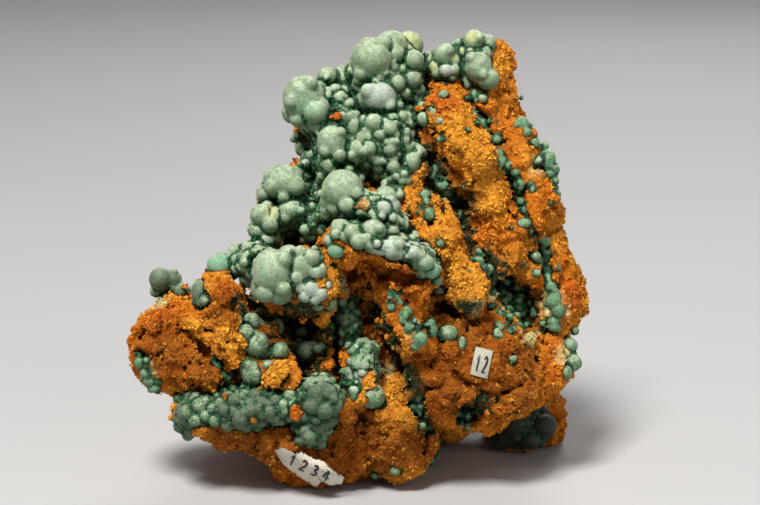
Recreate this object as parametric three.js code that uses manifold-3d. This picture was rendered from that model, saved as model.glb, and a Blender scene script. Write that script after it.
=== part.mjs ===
// A cabinet specimen of malachite: grape-like crusts of malachite grown on a
// crumbly block of orange limonite, with two paper labels stuck to the rock.
// Units are millimetres, +Z is up, and the specimen is looked at along +Y.
// The origin lies under the middle of the specimen, on its flat-ground base.

import * as THREE from "three";
import { mergeVertices } from "three/addons/utils/BufferGeometryUtils.js";
import Module from "manifold-3d";

const wasm = await Module();
wasm.setup();
const { Manifold, Mesh: SolidMesh } = wasm;

// The front sheet. Places are given as a visitor sees them from in front and
// a little above: mm ACROSS from the left and mm DOWN from the top of a sheet
// held square to the line of sight, and mm BACK behind it.
const EYE_DISTANCE = 560;
const EYE_ELEVATION = THREE.MathUtils.degToRad(12);
const SHEET_CENTRE = { across: 95, down: 63 };
const ORIGIN_ON_SHEET = { across: 92, down: 62 };
const SHEET_HEIGHT = 58.7; // of ORIGIN_ON_SHEET above the base
const SHEET_FORWARD = 14; // of the origin, towards the viewer

const NEAREST_DEPTH = -60;
const FARTHEST_DEPTH = 80;
const DEPTH_STEP = 0.5;

// Gaps, facets and unevenness
const JOINT_GAP = 0.5; // room left between the rock and what sits on it
const LABEL_THICKNESS = 0.5;
const LABEL_REACH = 9; // how far before and behind its middle a label may lie
const GRID_LOWEST = [-66, -64, -18];
const GRID_HIGHEST = [64, 58, 126];
const ROCK_CELL = 5.35;
const ROCK_BLEND = 1.3;
const PINCH_FILL = 0.1; // of a cell
const CRUST_CELL = 2.9;
const SLOPE_STEP = 0.05;
const NEAR_ENOUGH = 0.3; // of a crust's corner to the ball or bed that it is part of
const ROUGH_WAVES = [
  { length: 27, height: 1.6 },
  { length: 13, height: 1.1 },
];
const SMALLEST_BALL = 1.5;
const SMALLEST_CRUST = 60; // cubic mm

const across = new THREE.Vector3(1, 0, 0);
const back = new THREE.Vector3(0, Math.cos(EYE_ELEVATION), -Math.sin(EYE_ELEVATION));
const up = new THREE.Vector3(0, Math.sin(EYE_ELEVATION), Math.cos(EYE_ELEVATION));

// Masses of the rock: across, down, back, then the half-widths across, down
// and back, and the lean in degrees, anticlockwise as seen from the front.
const ROCK = {
  core: [104, 64, 20, 31, 41, 26, 4],
  top: [110, 34, 14, 15, 20, 16, 0],
  peak: [96, 26, 14, 10, 12, 12, 0],
  left_shoulder: [85, 34, 15, 10, 11, 13, 0],
  left_flank: [77, 53, 13, 12, 13, 17, 0],
  horn: [122, 22, 9, 6.3, 12, 9, -6],
  right_slope: [130, 54, 17, 9, 28, 20, 15],
  plank_outer: [119.5, 41, 0, 6, 21, 9, 26],
  plank_inner: [112, 64, -7, 5, 18, 8, 27],
  under_boss: [77, 72, -2, 11, 10, 18, 0],
  shelf_rock: [95, 65, -14, 14, 4.6, 11, -28],
  spur: [101, 80, -11, 5.5, 11.5, 9, 34],
  cavity_wall: [80, 84, 4, 14, 12, 10, 0],
  crag: [45, 86, 0, 12, 11.6, 12, 0],
  crag_low: [52, 93, 0, 13, 7, 11, 0],
  pillar: [55.5, 78, -6, 4.4, 10.5, 8, 0],
  bridge: [62, 86, 3, 11, 10, 14, 0],
  band_rock: [62, 103, -2, 17, 6.6, 12, -2],
  lower_left: [66, 107.5, -1, 16, 6, 12, -9],
  wedge: [86, 97, -6, 7, 9, 9, -10],
  lower_body: [84, 106, 8, 17, 12, 18, -6],
  toe: [80, 116, 2, 9, 5.4, 9, -16],
  middle_panel: [98, 105, 2, 10.5, 14, 14, 10],
  right_panel: [118, 92, 1, 17, 16.5, 15, 0],
  right_edge: [138.5, 76, 15, 7, 10, 14, 0],
  right_corner: [134.5, 90, 12, 9, 8, 14, 0],
  rear_foot: [131, 105, 40, 9.5, 9.5, 14, 0],
  sole: [90, 110, 22, 19, 12, 20, 0],
  back_body: [102, 76, 36, 31, 36, 22, 0],
  rear_left: [72, 90, 34, 17, 20, 18, 0],
};

// Beds of malachite under the balls, by the crust they belong to, given as
// the masses of the rock are.
const BEDS = {
  crown: [
    [78, 26, 4, 6, 6, 9, 0],
    [84, 30, 3, 8, 9, 10, 0],
    [96, 20, 5, 9.5, 10.5, 10, 0],
    [96, 34, 2, 9, 10, 10, 0],
    [84, 40, 2, 9, 9, 11, 0],
    [100, 43, 1, 4, 8, 8, 0],
    [106.5, 27, 4, 4, 5, 6, 0],
  ],
  shoulder: [
    [72, 48, 2, 7, 6.5, 10, 0],
    [68, 56, 0, 5.5, 6, 10, 0],
    [79, 54, -2, 8, 7, 11, 0],
  ],
  boss: [
    [71, 69, -13, 8, 6.3, 9, 0],
    [79, 68, -12, 6, 6, 8, 0],
    [64, 65, -6, 5, 5, 8, 0],
  ],
  shelf: [
    [86, 51, -9, 6, 6, 8, 0],
    [94, 54, -13, 8, 5, 9, -25],
    [92, 60, -17, 9, 3.4, 9, -20],
    [104, 64, -16, 7, 3.6, 9, -40],
  ],
  horn: [
    [112, 17, 7, 6, 5, 7, 0],
    [119, 15, 6, 5, 6.5, 7, 0],
  ],
  knob: [
    [41, 70.6, 2, 4, 2.8, 4, -10],
    [45.6, 74.5, 2, 1.8, 3.6, 3, -35],
  ],
  tip: [
    [55.5, 67, -1, 3.6, 3.4, 5, 0],
    [60, 65, -1, 3.5, 4, 6, 0],
    [50.5, 74, 0, 2.3, 3, 4, 0],
  ],
  cavity: [
    [63.5, 83, -4, 4, 5, 5, 0],
    [65, 90, -6, 5, 5.5, 6, 0],
    [73, 87, 0, 7, 2.2, 5, 0],
  ],
  band: [
    [50, 103, -5, 6.5, 5.5, 9, 0],
    [61, 102, -9, 9, 5.5, 9, 0],
    [71, 101, -10, 8, 4.5, 8, 0],
    [80, 100, -13, 6, 6.5, 8, 0],
    [78, 107, -10, 4.5, 5, 7, 30],
  ],
  drape: [
    [87, 80, -4, 3.4, 8, 5, 10],
    [90.5, 94, -10, 4.4, 9, 6, -8],
  ],
  foot: [
    [131, 106, 30, 8, 6.5, 6, 0],
  ],
};

// Hollows and clefts: across, down, the three half-widths and the lean. Each
// is sunk where the line of sight meets the rock.
const HOLLOWS = {
  cavity: [75, 82, 7, 4.5, 9, 0],
  gap: [84.3, 88, 1.6, 9, 9, 4],
  under_shelf: [96.5, 68.5, 11, 3.2, 8, -12],
  shadow_valley: [98, 88, 2, 10, 6, 27],
  dark_pocket: [113.5, 51, 5, 4.6, 8, 0],
  small_pocket: [107.5, 46, 2.6, 3.4, 5, 0],
  vug: [127, 72, 7, 5, 7, -35],
  side_hollow: [114, 77.5, 5, 2.8, 6, 0],
  lower_pit: [117, 104, 3.8, 4.2, 6, 0],
  slit: [127, 98.2, 5, 1.2, 5, 35],
  upper_cleft: [120.5, 30, 1.7, 9.5, 4, 31],
  long_cleft: [129.3, 48, 1.7, 12, 4, 22],
  low_cleft: [136.5, 66, 1.7, 7.5, 4, 12],
  upper_seam: [102.3, 96.5, 1.5, 12, 4, 25],
  lower_seam: [106.6, 108, 1.3, 7, 4, 6],
  crag_pit: [50.5, 87, 3.4, 2.4, 4, 10],
  neck_pit: [58.5, 77.5, 2, 2.6, 5, 0],
};

// Balls of malachite, by the crust they belong to: across, down, radius, and
// where a ball isn't round its height over its width, and its lean.
const BALLS = {
  crown: [
    [76.5, 24.3, 5.5], [73.3, 28, 2.9], [79.3, 27, 3.2], [76.3, 30.5, 1.8], [79, 31, 2],
    [77.5, 31.5, 1.6], [81.8, 19, 2.5], [85.8, 18.5, 2.3], [83.8, 22.3, 1.6], [85.3, 20.8, 1.3],
    [81.7, 24, 1.3], [92.8, 14, 4.8], [97.5, 10.8, 3.2], [102, 10.8, 3.3], [102.5, 14.5, 2.8],
    [97, 13.8, 1.6], [92.5, 17.8, 2.4], [96, 16.8, 1.4], [98.5, 16.6, 1.3], [100.5, 17, 1.3],
    [89.8, 21, 1.9, 1.15], [95, 23.6, 4], [91.8, 24.8, 2.9], [91.3, 26.2, 2], [99.3, 20.6, 2.1],
    [103, 19.5, 2.4], [104.6, 22.6, 1.9], [101.2, 23, 1.6], [103.8, 24.3, 1.3], [99.5, 26.2, 1.5],
    [100.5, 29, 1.6], [103, 29.5, 1.1], [102, 27, 1], [105.5, 26.5, 1.3], [108, 27, 1.3],
    [106, 29.6, 1.9], [108.8, 28.3, 1.5], [110, 30.3, 1.2], [88.2, 31.6, 2, 1.3, -20],
    [82.9, 35.4, 3.6, 1.22], [93.5, 30.6, 2.3], [97.5, 32, 2], [95, 33.5, 1.6], [98.8, 33.5, 1.3],
    [91.6, 32.5, 1.3], [96.3, 30.5, 1.3], [90.5, 34.3, 1.9], [89, 37.2, 2.4], [92.3, 37, 2.1],
    [93, 38.8, 1.6], [97.5, 37.2, 1.8], [95.5, 39.3, 1.1], [98.8, 35.5, 1.1], [94.8, 41.5, 1.8],
    [98.3, 41.5, 1.8], [96.5, 43.3, 1.8], [94.3, 43.8, 1.3], [92.8, 40.8, 1.1], [99, 44, 1.3],
    [97, 45.5, 1.1], [102.8, 40.3, 2.6, 1.2], [104.7, 37.3, 2.5, 0.55, -35], [74.3, 34, 1],
    [75, 37, 1.3, 1.5], [75.5, 41.2, 1.3], [82, 40.8, 1.5, 1.5], [85, 38.8, 1.3],
    [100, 47, 1.3], [101, 44.5, 1], [99.3, 49, 1],
  ],
  shoulder: [
    [69, 44.5, 3.3], [71.6, 45.5, 3.8], [73.3, 43.6, 2.4], [66.5, 48.3, 2.5], [65.3, 53.6, 2.8],
    [64.5, 57.5, 2.2], [67.6, 56, 2.1], [72.8, 52.3, 3.4, 0.8, 15], [68.8, 53.8, 1.9, 1.3],
    [66.8, 59.5, 2], [63, 57, 1.2], [62.3, 61.5, 1.3], [63.5, 63, 1.1], [61.3, 65.5, 1.5],
    [76.3, 57.3, 1.5], [78, 59, 1.3],
  ],
  boss: [
    [67.2, 65.8, 4.3], [69.2, 70.8, 5], [67.6, 71.5, 4.3], [76.2, 65.6, 4.2], [72.4, 65.6, 3],
    [79.3, 67.6, 2.5], [75, 71.3, 2], [78, 72, 2.3], [80, 73.3, 2], [76.3, 73.8, 1.8],
    [81.6, 71.3, 1.5], [78.8, 74.6, 1.5], [84, 62.6, 2.3, 0.8], [84.5, 66.2, 1.6, 1.4],
    [82.5, 60, 1.8], [80.5, 61.8, 1.5], [82.5, 75.8, 1.8], [85.6, 75.4, 1.3], [79.5, 76.3, 1.5],
    [62, 69.6, 2.3], [64.3, 65.5, 1.3],
  ],
  shelf: [
    [85.6, 47.4, 5.2], [82, 50, 2.1], [83.8, 51.8, 2], [87.5, 50.8, 2.3], [81.5, 53.5, 1.6],
    [86.3, 53.5, 1.5], [89.3, 48.8, 1.5], [91.3, 49, 1.3], [93, 50, 1.3], [96.6, 49.3, 3.1],
    [98, 51.5, 2.3], [95.8, 52, 2], [85, 57, 2.5], [88, 57.8, 2], [93.3, 58, 3.3], [97.5, 57.8, 2.3],
    [89.6, 60.3, 2.1], [86.3, 59, 1.5], [93.8, 60.8, 1], [98.6, 62, 3.2], [96.3, 61.3, 1.6],
    [100.6, 62.5, 2.1], [103.5, 63, 1.8], [106.5, 65.5, 2], [108, 67.5, 2], [109.3, 70, 1.5],
    [105, 63.8, 1.4], [103.8, 59.5, 2.1], [100.8, 57.8, 1.8], [107.5, 61.3, 1.3], [109.2, 72.3, 1],
  ],
  horn: [
    [107, 14.5, 1.8], [108.8, 16.5, 1.6], [106.3, 17, 1.1], [111.3, 13.6, 2.8], [114.3, 12.6, 2.4],
    [113.8, 15, 1.6], [111.5, 17.3, 1.8], [113.8, 17.3, 1.5], [113, 19, 1.3], [118.5, 10, 2.8],
    [121.8, 10.6, 2.3], [116, 11, 1.6], [115.8, 13, 1.5], [119.6, 16.6, 3.4, 1.15],
    [122, 19.6, 2.8], [116.9, 18.8, 1.2, 3], [118.8, 23, 1.2], [120.5, 24.3, 1], [117.5, 21.3, 1],
  ],
  knob: [
    [40, 69.6, 2.8], [43, 69.6, 2.5], [39, 72.6, 1.7], [45, 72.6, 1.8, 1.3], [41, 73.2, 1.3],
  ],
  tip: [
    [55, 66.3, 3.3], [59.2, 67, 1.8], [59, 62.6, 2], [61.6, 61.8, 1.3], [50, 73, 2.3, 1.4],
    [51.3, 75, 1.5], [49, 75.8, 1],
  ],
  cavity: [
    [62.5, 80.5, 2.5], [61.5, 83, 2], [64.3, 86, 3.1], [66.3, 88, 2], [70, 87.6, 2.3],
    [63, 92.5, 3, 1.3], [69.3, 81.8, 1.8, 1.3], [75.5, 83.3, 1.8], [76.3, 87.5, 2.2],
    [78.6, 86.5, 1.5], [80.5, 86.6, 1.3, 1.4], [67, 91.3, 1.5], [64.5, 94.5, 1.5],
  ],
  band: [
    [47.5, 98.8, 1.3], [50, 101.3, 2.3], [46.3, 103, 2.3], [48.8, 105, 2], [45, 106.3, 2],
    [47, 108.5, 1.9], [51.3, 103.8, 1.8], [53.8, 105, 2], [52.5, 100.5, 1.5], [56.3, 102.5, 1.5],
    [58.8, 100, 2], [60, 104.5, 2.3], [57, 106, 2], [62.5, 102.5, 2], [63.8, 98.8, 2],
    [65.5, 100.5, 1.8], [67.5, 102.5, 1.8], [66.3, 98, 1.3], [61.3, 97, 1.8], [68.8, 100, 1.5],
    [72.5, 98.8, 2], [71.3, 102.5, 1.3], [75, 97.5, 1.8], [61.3, 106.3, 1.5], [77.5, 96.3, 2],
    [78.8, 98, 2.3], [82, 98, 2.5], [83.8, 101.3, 2.3], [81.3, 102.5, 2.5], [78, 101.3, 2.3],
    [79.5, 106.3, 2], [82.5, 105, 2], [76.3, 103.8, 1.8], [77.5, 108.8, 2], [75, 110, 1.5],
    [75.8, 94.5, 1.5], [78.8, 93.8, 1.5], [81.8, 95.5, 1.3], [44.5, 99.5, 1.3],
  ],
  drape: [
    [87.5, 76.3, 1.3], [86.8, 78.8, 1], [88.8, 78, 1], [91.3, 75, 1], [86.3, 80.5, 1.3],
    [88.8, 81.3, 1], [85.8, 83, 1.3], [87.5, 82.5, 1], [85.8, 85.5, 1.3], [87.5, 87.5, 1],
    [89.3, 85, 0.8], [86.3, 92.5, 1.8], [88, 95, 2], [90.5, 93, 1.8], [91.3, 96.3, 2],
    [88.8, 98, 1.8], [93, 97.5, 1.8], [91.3, 100, 1.5], [87.5, 100.8, 1.5], [92.5, 90, 1.3],
    [92, 87.5, 1.3], [95, 98, 1.3], [94.5, 92.5, 1.3],
  ],
  spur: [
    [112, 83.3, 2.5, 0.9], [115.5, 86.3, 1, 1.3], [105, 84.5, 2], [106.8, 87.5, 1.3],
    [103.8, 86.3, 1.5], [100, 75.5, 1.3], [102, 77.5, 1.3], [99.5, 73.8, 1],
  ],
  cleft: [
    [130.5, 31, 2], [133.8, 35.5, 1.3], [137, 40, 2.2, 1.3], [118.3, 28.5, 1.3], [121, 30.8, 1.5],
    [125.5, 40, 1.5], [127.5, 41.3, 1.5], [128.8, 43, 1.3], [129.8, 46.3, 1.5], [130.8, 50, 1.5],
    [131.8, 52.5, 1.5], [132.8, 54.5, 1.3], [136.8, 67, 1.3], [137, 69, 1.5], [136.3, 63, 1.3],
    [138.3, 75, 2], [137.5, 71.5, 1.5], [139.5, 77.5, 1.8], [138.3, 80, 1.5],
  ],
  edge: [
    [142.5, 86.3, 2], [143, 90.5, 2.5], [141.3, 93, 1.8], [143.5, 82.5, 1.3],
  ],
  crag: [
    [35, 90.5, 1.5], [36.3, 93, 1.3], [37.5, 95, 1.5],
  ],
  foot: [
    [136.3, 106.3, 3], [125, 110, 2.5], [132.5, 110, 2.5], [128.8, 106.3, 2.3],
  ],
  bottom: [
    [107.5, 116.3, 2], [98.8, 117.5, 1.3], [93.8, 118.5, 1.3],
  ],
};

// The two labels: the corners of each on the front sheet, and how far in
// front of and behind the rock's face the cut-out is taken.
const CATALOGUE_LABEL = [
  [68.5, 112.5], [70.5, 111.6], [73.5, 113.2], [75.5, 112.8], [78.5, 114.6], [81, 115.2],
  [83.2, 117.4], [86.2, 119.2], [85.4, 121], [82.5, 121.3], [80.6, 120.4], [78.8, 121.6],
  [75.4, 119.5], [72.6, 117.6], [70.2, 115.2],
];
const NUMBER_STICKER = [
  [118.9, 86.4], [123.3, 87.5], [121.8, 94.6], [117.5, 93.4],
];

// A point of the specimen from its place on the front sheet.
function placed(a, d, depth) {
  const sheet = new THREE.Vector3(0, -SHEET_FORWARD, SHEET_HEIGHT)
    .addScaledVector(across, a - ORIGIN_ON_SHEET.across)
    .addScaledVector(up, ORIGIN_ON_SHEET.down - d);
  const sight = new THREE.Vector3()
    .addScaledVector(across, a - SHEET_CENTRE.across)
    .addScaledVector(up, SHEET_CENTRE.down - d)
    .addScaledVector(back, EYE_DISTANCE)
    .divideScalar(EYE_DISTANCE);
  return sheet.addScaledVector(sight, depth);
}

// Things farther back look smaller, so a size read on the sheet grows with depth.
function sizeAt(depth) {
  return 1 + depth / EYE_DISTANCE;
}

// The world place, half-widths and axes of an ellipsoid of rock.
function ellipsoid(a, d, depth, wide, tall, deep, lean) {
  const turn = THREE.MathUtils.degToRad(lean);
  const k = sizeAt(depth);
  return {
    centre: placed(a, d, depth),
    half: [wide * k, deep * k, tall * k],
    axes: [across, back, up].map((axis) => axis.clone().applyAxisAngle(back, -turn)),
  };
}

// Roughly how far a point is outside an ellipsoid.
function outside({ centre, half, axes }, point) {
  const [x, y, z] = [point.x - centre.x, point.y - centre.y, point.z - centre.z];
  let [squares, weighted] = [0, 0];
  for (let i = 0; i < 3; i++) {
    const q = (x * axes[i].x + y * axes[i].y + z * axes[i].z) / half[i];
    squares += q * q;
    weighted += (q / half[i]) ** 2;
  }
  const k = Math.sqrt(squares);
  return k < 1e-6 ? -Math.min(...half) : (k * (k - 1)) / Math.sqrt(weighted);
}

// The rock's waves: how far its skin stands out at a place.
function unevenness({ x, y, z }) {
  let height = 0;
  for (const wave of ROUGH_WAVES) {
    const k = (2 * Math.PI) / wave.length;
    const sum =
      Math.sin(k * (x + 0.4 * y) + 1.7 * Math.sin(0.6 * k * z)) +
      Math.sin(k * (y - 0.5 * z) + 1.7 * Math.sin(0.7 * k * x)) +
      Math.sin(k * (z + 0.3 * x) + 1.7 * Math.sin(0.5 * k * y));
    height += (wave.height * sum) / 3;
  }
  return height;
}

const rockMasses = Object.values(ROCK).map((m) => ellipsoid(...m));
const bedding = Object.entries(BEDS).flatMap(([crust, list]) =>
  list.map((m) => ({ crust, shape: ellipsoid(...m) })),
);

// How far a point is outside the hollows' edge, inwards counting as positive.
function insideHollow(point, sunk) {
  return sunk.reduce((deepest, hollow) => Math.max(deepest, -outside(hollow, point)), -Infinity);
}

// How far a point is outside the rock: its masses run together, uneven, less its hollows.
function outsideRock(point, sunk) {
  const sum = rockMasses.reduce((s, m) => s + Math.exp(-outside(m, point) / ROCK_BLEND), 0);
  const plain = -ROCK_BLEND * Math.log(sum);
  return Math.max(plain - unevenness(point), insideHollow(point, sunk));
}

function outsideBeds(point, sunk) {
  const plain = bedding.reduce((least, { shape }) => Math.min(least, outside(shape, point)), Infinity);
  return Math.max(plain, insideHollow(point, sunk));
}

// The depth at which the line of sight meets the specimen, or passes nearest to it.
function depthOfSkin(a, d, sunk) {
  let nearest = { depth: NEAREST_DEPTH, gap: Infinity };
  for (let depth = NEAREST_DEPTH; depth <= FARTHEST_DEPTH; depth += DEPTH_STEP) {
    const point = placed(a, d, depth);
    const gap = Math.min(outsideRock(point, sunk), outsideBeds(point, sunk));
    if (gap <= 0) return depth;
    if (gap < nearest.gap) nearest = { depth, gap };
  }
  return nearest.depth;
}

const hollows = Object.values(HOLLOWS).map(([a, d, wide, tall, deep, lean]) =>
  ellipsoid(a, d, depthOfSkin(a, d, []), wide, tall, deep, lean),
);

// Fills the corners of a grid where its inside would meet itself only along an
// edge, which would pinch the skin.
function fillPinches(values, stride, fill) {
  let pinched = true;
  while (pinched) {
    pinched = false;
    for (let start = 0; start < values.length - stride[1] - stride[2]; start++) {
      for (let axis = 0; axis < 3; axis++) {
        const [u, v] = [stride[axis], stride[(axis + 1) % 3]];
        const [near, far] = [[start, start + u + v], [start + u, start + v]];
        const inside = [near, far].map((pair) => pair.filter((n) => values[n] < 0).length);
        if (inside[0] + inside[1] !== 2 || inside[0] === 1) continue;
        const open = inside[0] ? far : near;
        values[values[open[0]] < values[open[1]] ? open[0] : open[1]] = -fill;
        pinched = true;
      }
    }
  }
}

// The skin where a field is zero, as a net with one knot in each cell of a
// grid that the skin passes through.
function netOf(field, lowest, highest, cell) {
  const count = highest.clone().sub(lowest).divideScalar(cell).ceil().toArray();
  const stride = [1, count[0] + 1, (count[0] + 1) * (count[1] + 1)];
  const corner = (i, j, k) => new THREE.Vector3(i, j, k).multiplyScalar(cell).add(lowest);
  const values = [];
  for (let k = 0; k <= count[2]; k++) {
    for (let j = 0; j <= count[1]; j++) {
      for (let i = 0; i <= count[0]; i++) values.push(field(corner(i, j, k)));
    }
  }
  fillPinches(values, stride, PINCH_FILL * cell);
  const knots = [];
  const knotOf = new Map();
  const faces = [];
  for (let k = 0; k < count[2]; k++) {
    for (let j = 0; j < count[1]; j++) {
      for (let i = 0; i < count[0]; i++) {
        const start = i * stride[0] + j * stride[1] + k * stride[2];
        const sum = new THREE.Vector3();
        let crossings = 0;
        for (let from = 0; from < 8; from++) {
          for (let axis = 0; axis < 3; axis++) {
            if (from & (1 << axis)) continue;
            const step = [0, 1, 2].map((n) => (from >> n) & 1);
            const there = start + step[0] * stride[0] + step[1] * stride[1] + step[2] * stride[2];
            const [low, high] = [values[there], values[there + stride[axis]]];
            if (low < 0 === high < 0) continue;
            step[axis] = low / (low - high);
            sum.add(corner(i + step[0], j + step[1], k + step[2]));
            crossings++;
          }
        }
        if (crossings) {
          knotOf.set(start, knots.length);
          knots.push(sum.divideScalar(crossings));
        }
      }
    }
  }
  for (let k = 1; k < count[2]; k++) {
    for (let j = 1; j < count[1]; j++) {
      for (let i = 1; i < count[0]; i++) {
        const start = i * stride[0] + j * stride[1] + k * stride[2];
        for (let axis = 0; axis < 3; axis++) {
          const here = values[start] < 0;
          if (here === values[start + stride[axis]] < 0) continue;
          const [u, v] = [stride[(axis + 1) % 3], stride[(axis + 2) % 3]];
          const ring = [start, start - u, start - u - v, start - v].map((n) => knotOf.get(n));
          if (!here) ring.reverse();
          faces.push(ring[0], ring[1], ring[2], ring[0], ring[2], ring[3]);
        }
      }
    }
  }
  const geometry = new THREE.BufferGeometry().setFromPoints(knots).setIndex(faces);
  geometry.computeVertexNormals();
  return geometry;
}

function solidOf(geometry) {
  const bare = geometry.clone();
  bare.deleteAttribute("normal");
  bare.deleteAttribute("uv");
  const merged = mergeVertices(bare, 1e-4);
  return new Manifold(
    new SolidMesh({
      numProp: 3,
      vertProperties: new Float32Array(merged.attributes.position.array),
      triVerts: new Uint32Array(merged.index.array),
    }),
  );
}

// The corners of a solid, as points.
function cornersOf(solid) {
  const { numProp, numVert, vertProperties } = solid.getMesh();
  return Array.from({ length: numVert }, (_, i) =>
    new THREE.Vector3().fromArray(vertProperties, i * numProp),
  );
}

function meshOf(name, solid, material) {
  const geometry = new THREE.BufferGeometry()
    .setFromPoints(cornersOf(solid))
    .setIndex(new THREE.BufferAttribute(solid.getMesh().triVerts, 1));
  geometry.computeVertexNormals();
  const mesh = new THREE.Mesh(geometry, material);
  mesh.name = name;
  return mesh;
}

// Moves each knot of a net onto the skin itself, by no more than so far.
function drawnOnto(geometry, field, farthest) {
  const position = geometry.attributes.position;
  const knot = new THREE.Vector3();
  const aside = new THREE.Vector3();
  for (let i = 0; i < position.count; i++) {
    knot.fromBufferAttribute(position, i);
    const here = field(knot);
    const slope = new THREE.Vector3();
    for (let axis = 0; axis < 3; axis++) {
      const there = aside.copy(knot).setComponent(axis, knot.getComponent(axis) + SLOPE_STEP);
      slope.setComponent(axis, (field(there) - here) / SLOPE_STEP);
    }
    const move = slope.multiplyScalar(-here / Math.max(slope.lengthSq(), 0.25));
    knot.add(move.clampLength(0, farthest));
    position.setXYZ(i, knot.x, knot.y, knot.z);
  }
  geometry.computeVertexNormals();
  return geometry;
}

const ground = solidOf(new THREE.BoxGeometry(400, 400, 100).translate(0, 0, -50));

// A field's skin over the whole specimen, as a net with cells of one size.
function skinOf(field, cell) {
  const [lowest, highest] = [GRID_LOWEST, GRID_HIGHEST].map((p) => new THREE.Vector3(...p));
  return drawnOnto(netOf(field, lowest, highest, cell), field, cell * 0.4);
}

const rockNet = skinOf((point) => outsideRock(point, hollows), ROCK_CELL);

// The rock, grown by so many mm all over and cut off flat at the base.
function rock(growth) {
  const grown = rockNet.clone();
  const [position, normal] = [grown.attributes.position, grown.attributes.normal];
  const knot = new THREE.Vector3();
  for (let i = 0; i < position.count; i++) {
    knot.fromBufferAttribute(normal, i).multiplyScalar(growth);
    position.setXYZ(i, position.getX(i) + knot.x, position.getY(i) + knot.y, position.getZ(i) + knot.z);
  }
  return solidOf(grown).subtract(ground);
}

function ballOf(crust, [a, d, radius, tallness = 1, lean = 0]) {
  const shape = ellipsoid(a, d, depthOfSkin(a, d, hollows), radius, radius * tallness, radius, lean);
  return { crust, shape };
}

// Which balls and beds a piece of crust is made of, and how much each shows.
function makersOf(piece, makers) {
  const shown = new Map();
  for (const corner of cornersOf(piece)) {
    const maker = makers.find(({ shape }) => Math.abs(outside(shape, corner)) < NEAR_ENOUGH);
    if (maker) shown.set(maker, (shown.get(maker) ?? 0) + 1);
  }
  return shown;
}

// The crust that most of a piece belongs to.
function crustOf(shown) {
  const total = {};
  shown.forEach((count, { crust }) => (total[crust] = (total[crust] ?? 0) + count));
  return Object.keys(total).sort((m, n) => total[n] - total[m])[0];
}

function largest(solid) {
  return solid.decompose().sort((m, n) => n.volume() - m.volume())[0];
}

const matrix = largest(rock(0));
const kept = rock(JOINT_GAP).add(matrix); // the room that nothing but the rock may fill

// A sheet that lies on the rock, cut to an outline given on the front sheet.
function draped(outline) {
  const middle = [0, 1].map((i) => outline.reduce((sum, p) => sum + p[i], 0) / outline.length);
  const depth = depthOfSkin(...middle, hollows);
  const flat = new THREE.Shape(outline.map(([a, d]) => new THREE.Vector2(a, -d)));
  const geometry = new THREE.ExtrudeGeometry(flat, { depth: 1, bevelEnabled: false });
  const position = geometry.attributes.position;
  for (let i = 0; i < position.count; i++) {
    const side = position.getZ(i) > 0.5 ? -LABEL_REACH : LABEL_REACH;
    const point = placed(position.getX(i), -position.getY(i), depth + side);
    position.setXYZ(i, point.x, point.y, point.z);
  }
  const skin = rock(JOINT_GAP + LABEL_THICKNESS).subtract(kept);
  return largest(skin.intersect(solidOf(geometry)));
}

const limonite = new THREE.MeshStandardMaterial({ color: 0xb0661c, roughness: 0.95, metalness: 0 });
const malachite = new THREE.MeshStandardMaterial({ color: 0x6f8d76, roughness: 0.7, metalness: 0 });
const paper = new THREE.MeshStandardMaterial({ color: 0xe6ded2, roughness: 0.85, metalness: 0 });

const balls = Object.entries(BALLS).flatMap(([crust, list]) =>
  list.filter(([, , radius]) => radius >= SMALLEST_BALL).map((b) => ballOf(crust, b)),
);

function outsideMalachite(point) {
  const round = balls.reduce((least, { shape }) => Math.min(least, outside(shape, point)), Infinity);
  return Math.min(round, outsideBeds(point, hollows));
}

// The malachite, less the rock under it with a hair of room, falls into the
// crusts that grew apart from each other.
const crusts = solidOf(skinOf(outsideMalachite, CRUST_CELL))
  .subtract(kept)
  .subtract(ground)
  .decompose()
  .filter((solid) => solid.volume() >= SMALLEST_CRUST)
  .sort((m, n) => n.volume() - m.volume());

const specimen = new THREE.Group();
specimen.add(meshOf("limonite_matrix", matrix, limonite));
const used = {};
for (const solid of crusts) {
  const crust = crustOf(makersOf(solid, [...balls, ...bedding]));
  used[crust] = (used[crust] ?? 0) + 1;
  const name = used[crust] > 1 ? `${crust}_crust_${used[crust]}` : `${crust}_crust`;
  specimen.add(meshOf(name, solid, malachite));
}
specimen.add(meshOf("catalogue_label", draped(CATALOGUE_LABEL), paper));
specimen.add(meshOf("number_sticker", draped(NUMBER_STICKER), paper));

export default specimen;
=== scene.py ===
"""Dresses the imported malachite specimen: grey-green grape-like crusts on a crumbly block of orange limonite.

Everything is worked out in millimetres in the model's own frame, and only turned into metres when a mesh is
made. Places are read on the front sheet, which FrontSheet describes.
"""

import logging
import math
from collections.abc import Callable
from dataclasses import dataclass, field
from enum import Enum

import bpy
import numpy as np
from mathutils import Matrix, Vector


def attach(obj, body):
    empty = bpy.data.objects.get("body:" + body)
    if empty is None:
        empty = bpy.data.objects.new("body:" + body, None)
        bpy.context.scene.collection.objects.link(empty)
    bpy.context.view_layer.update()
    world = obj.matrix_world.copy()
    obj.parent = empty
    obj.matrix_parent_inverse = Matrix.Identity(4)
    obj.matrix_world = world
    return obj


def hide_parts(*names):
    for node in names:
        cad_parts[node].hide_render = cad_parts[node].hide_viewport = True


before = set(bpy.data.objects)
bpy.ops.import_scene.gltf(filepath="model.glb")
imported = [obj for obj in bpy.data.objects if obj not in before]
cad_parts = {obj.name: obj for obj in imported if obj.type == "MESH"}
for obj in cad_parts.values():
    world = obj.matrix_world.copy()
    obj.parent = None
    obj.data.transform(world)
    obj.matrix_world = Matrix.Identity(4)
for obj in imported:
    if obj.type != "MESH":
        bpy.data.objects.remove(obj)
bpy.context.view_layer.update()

log = logging.getLogger("specimen")

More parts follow.
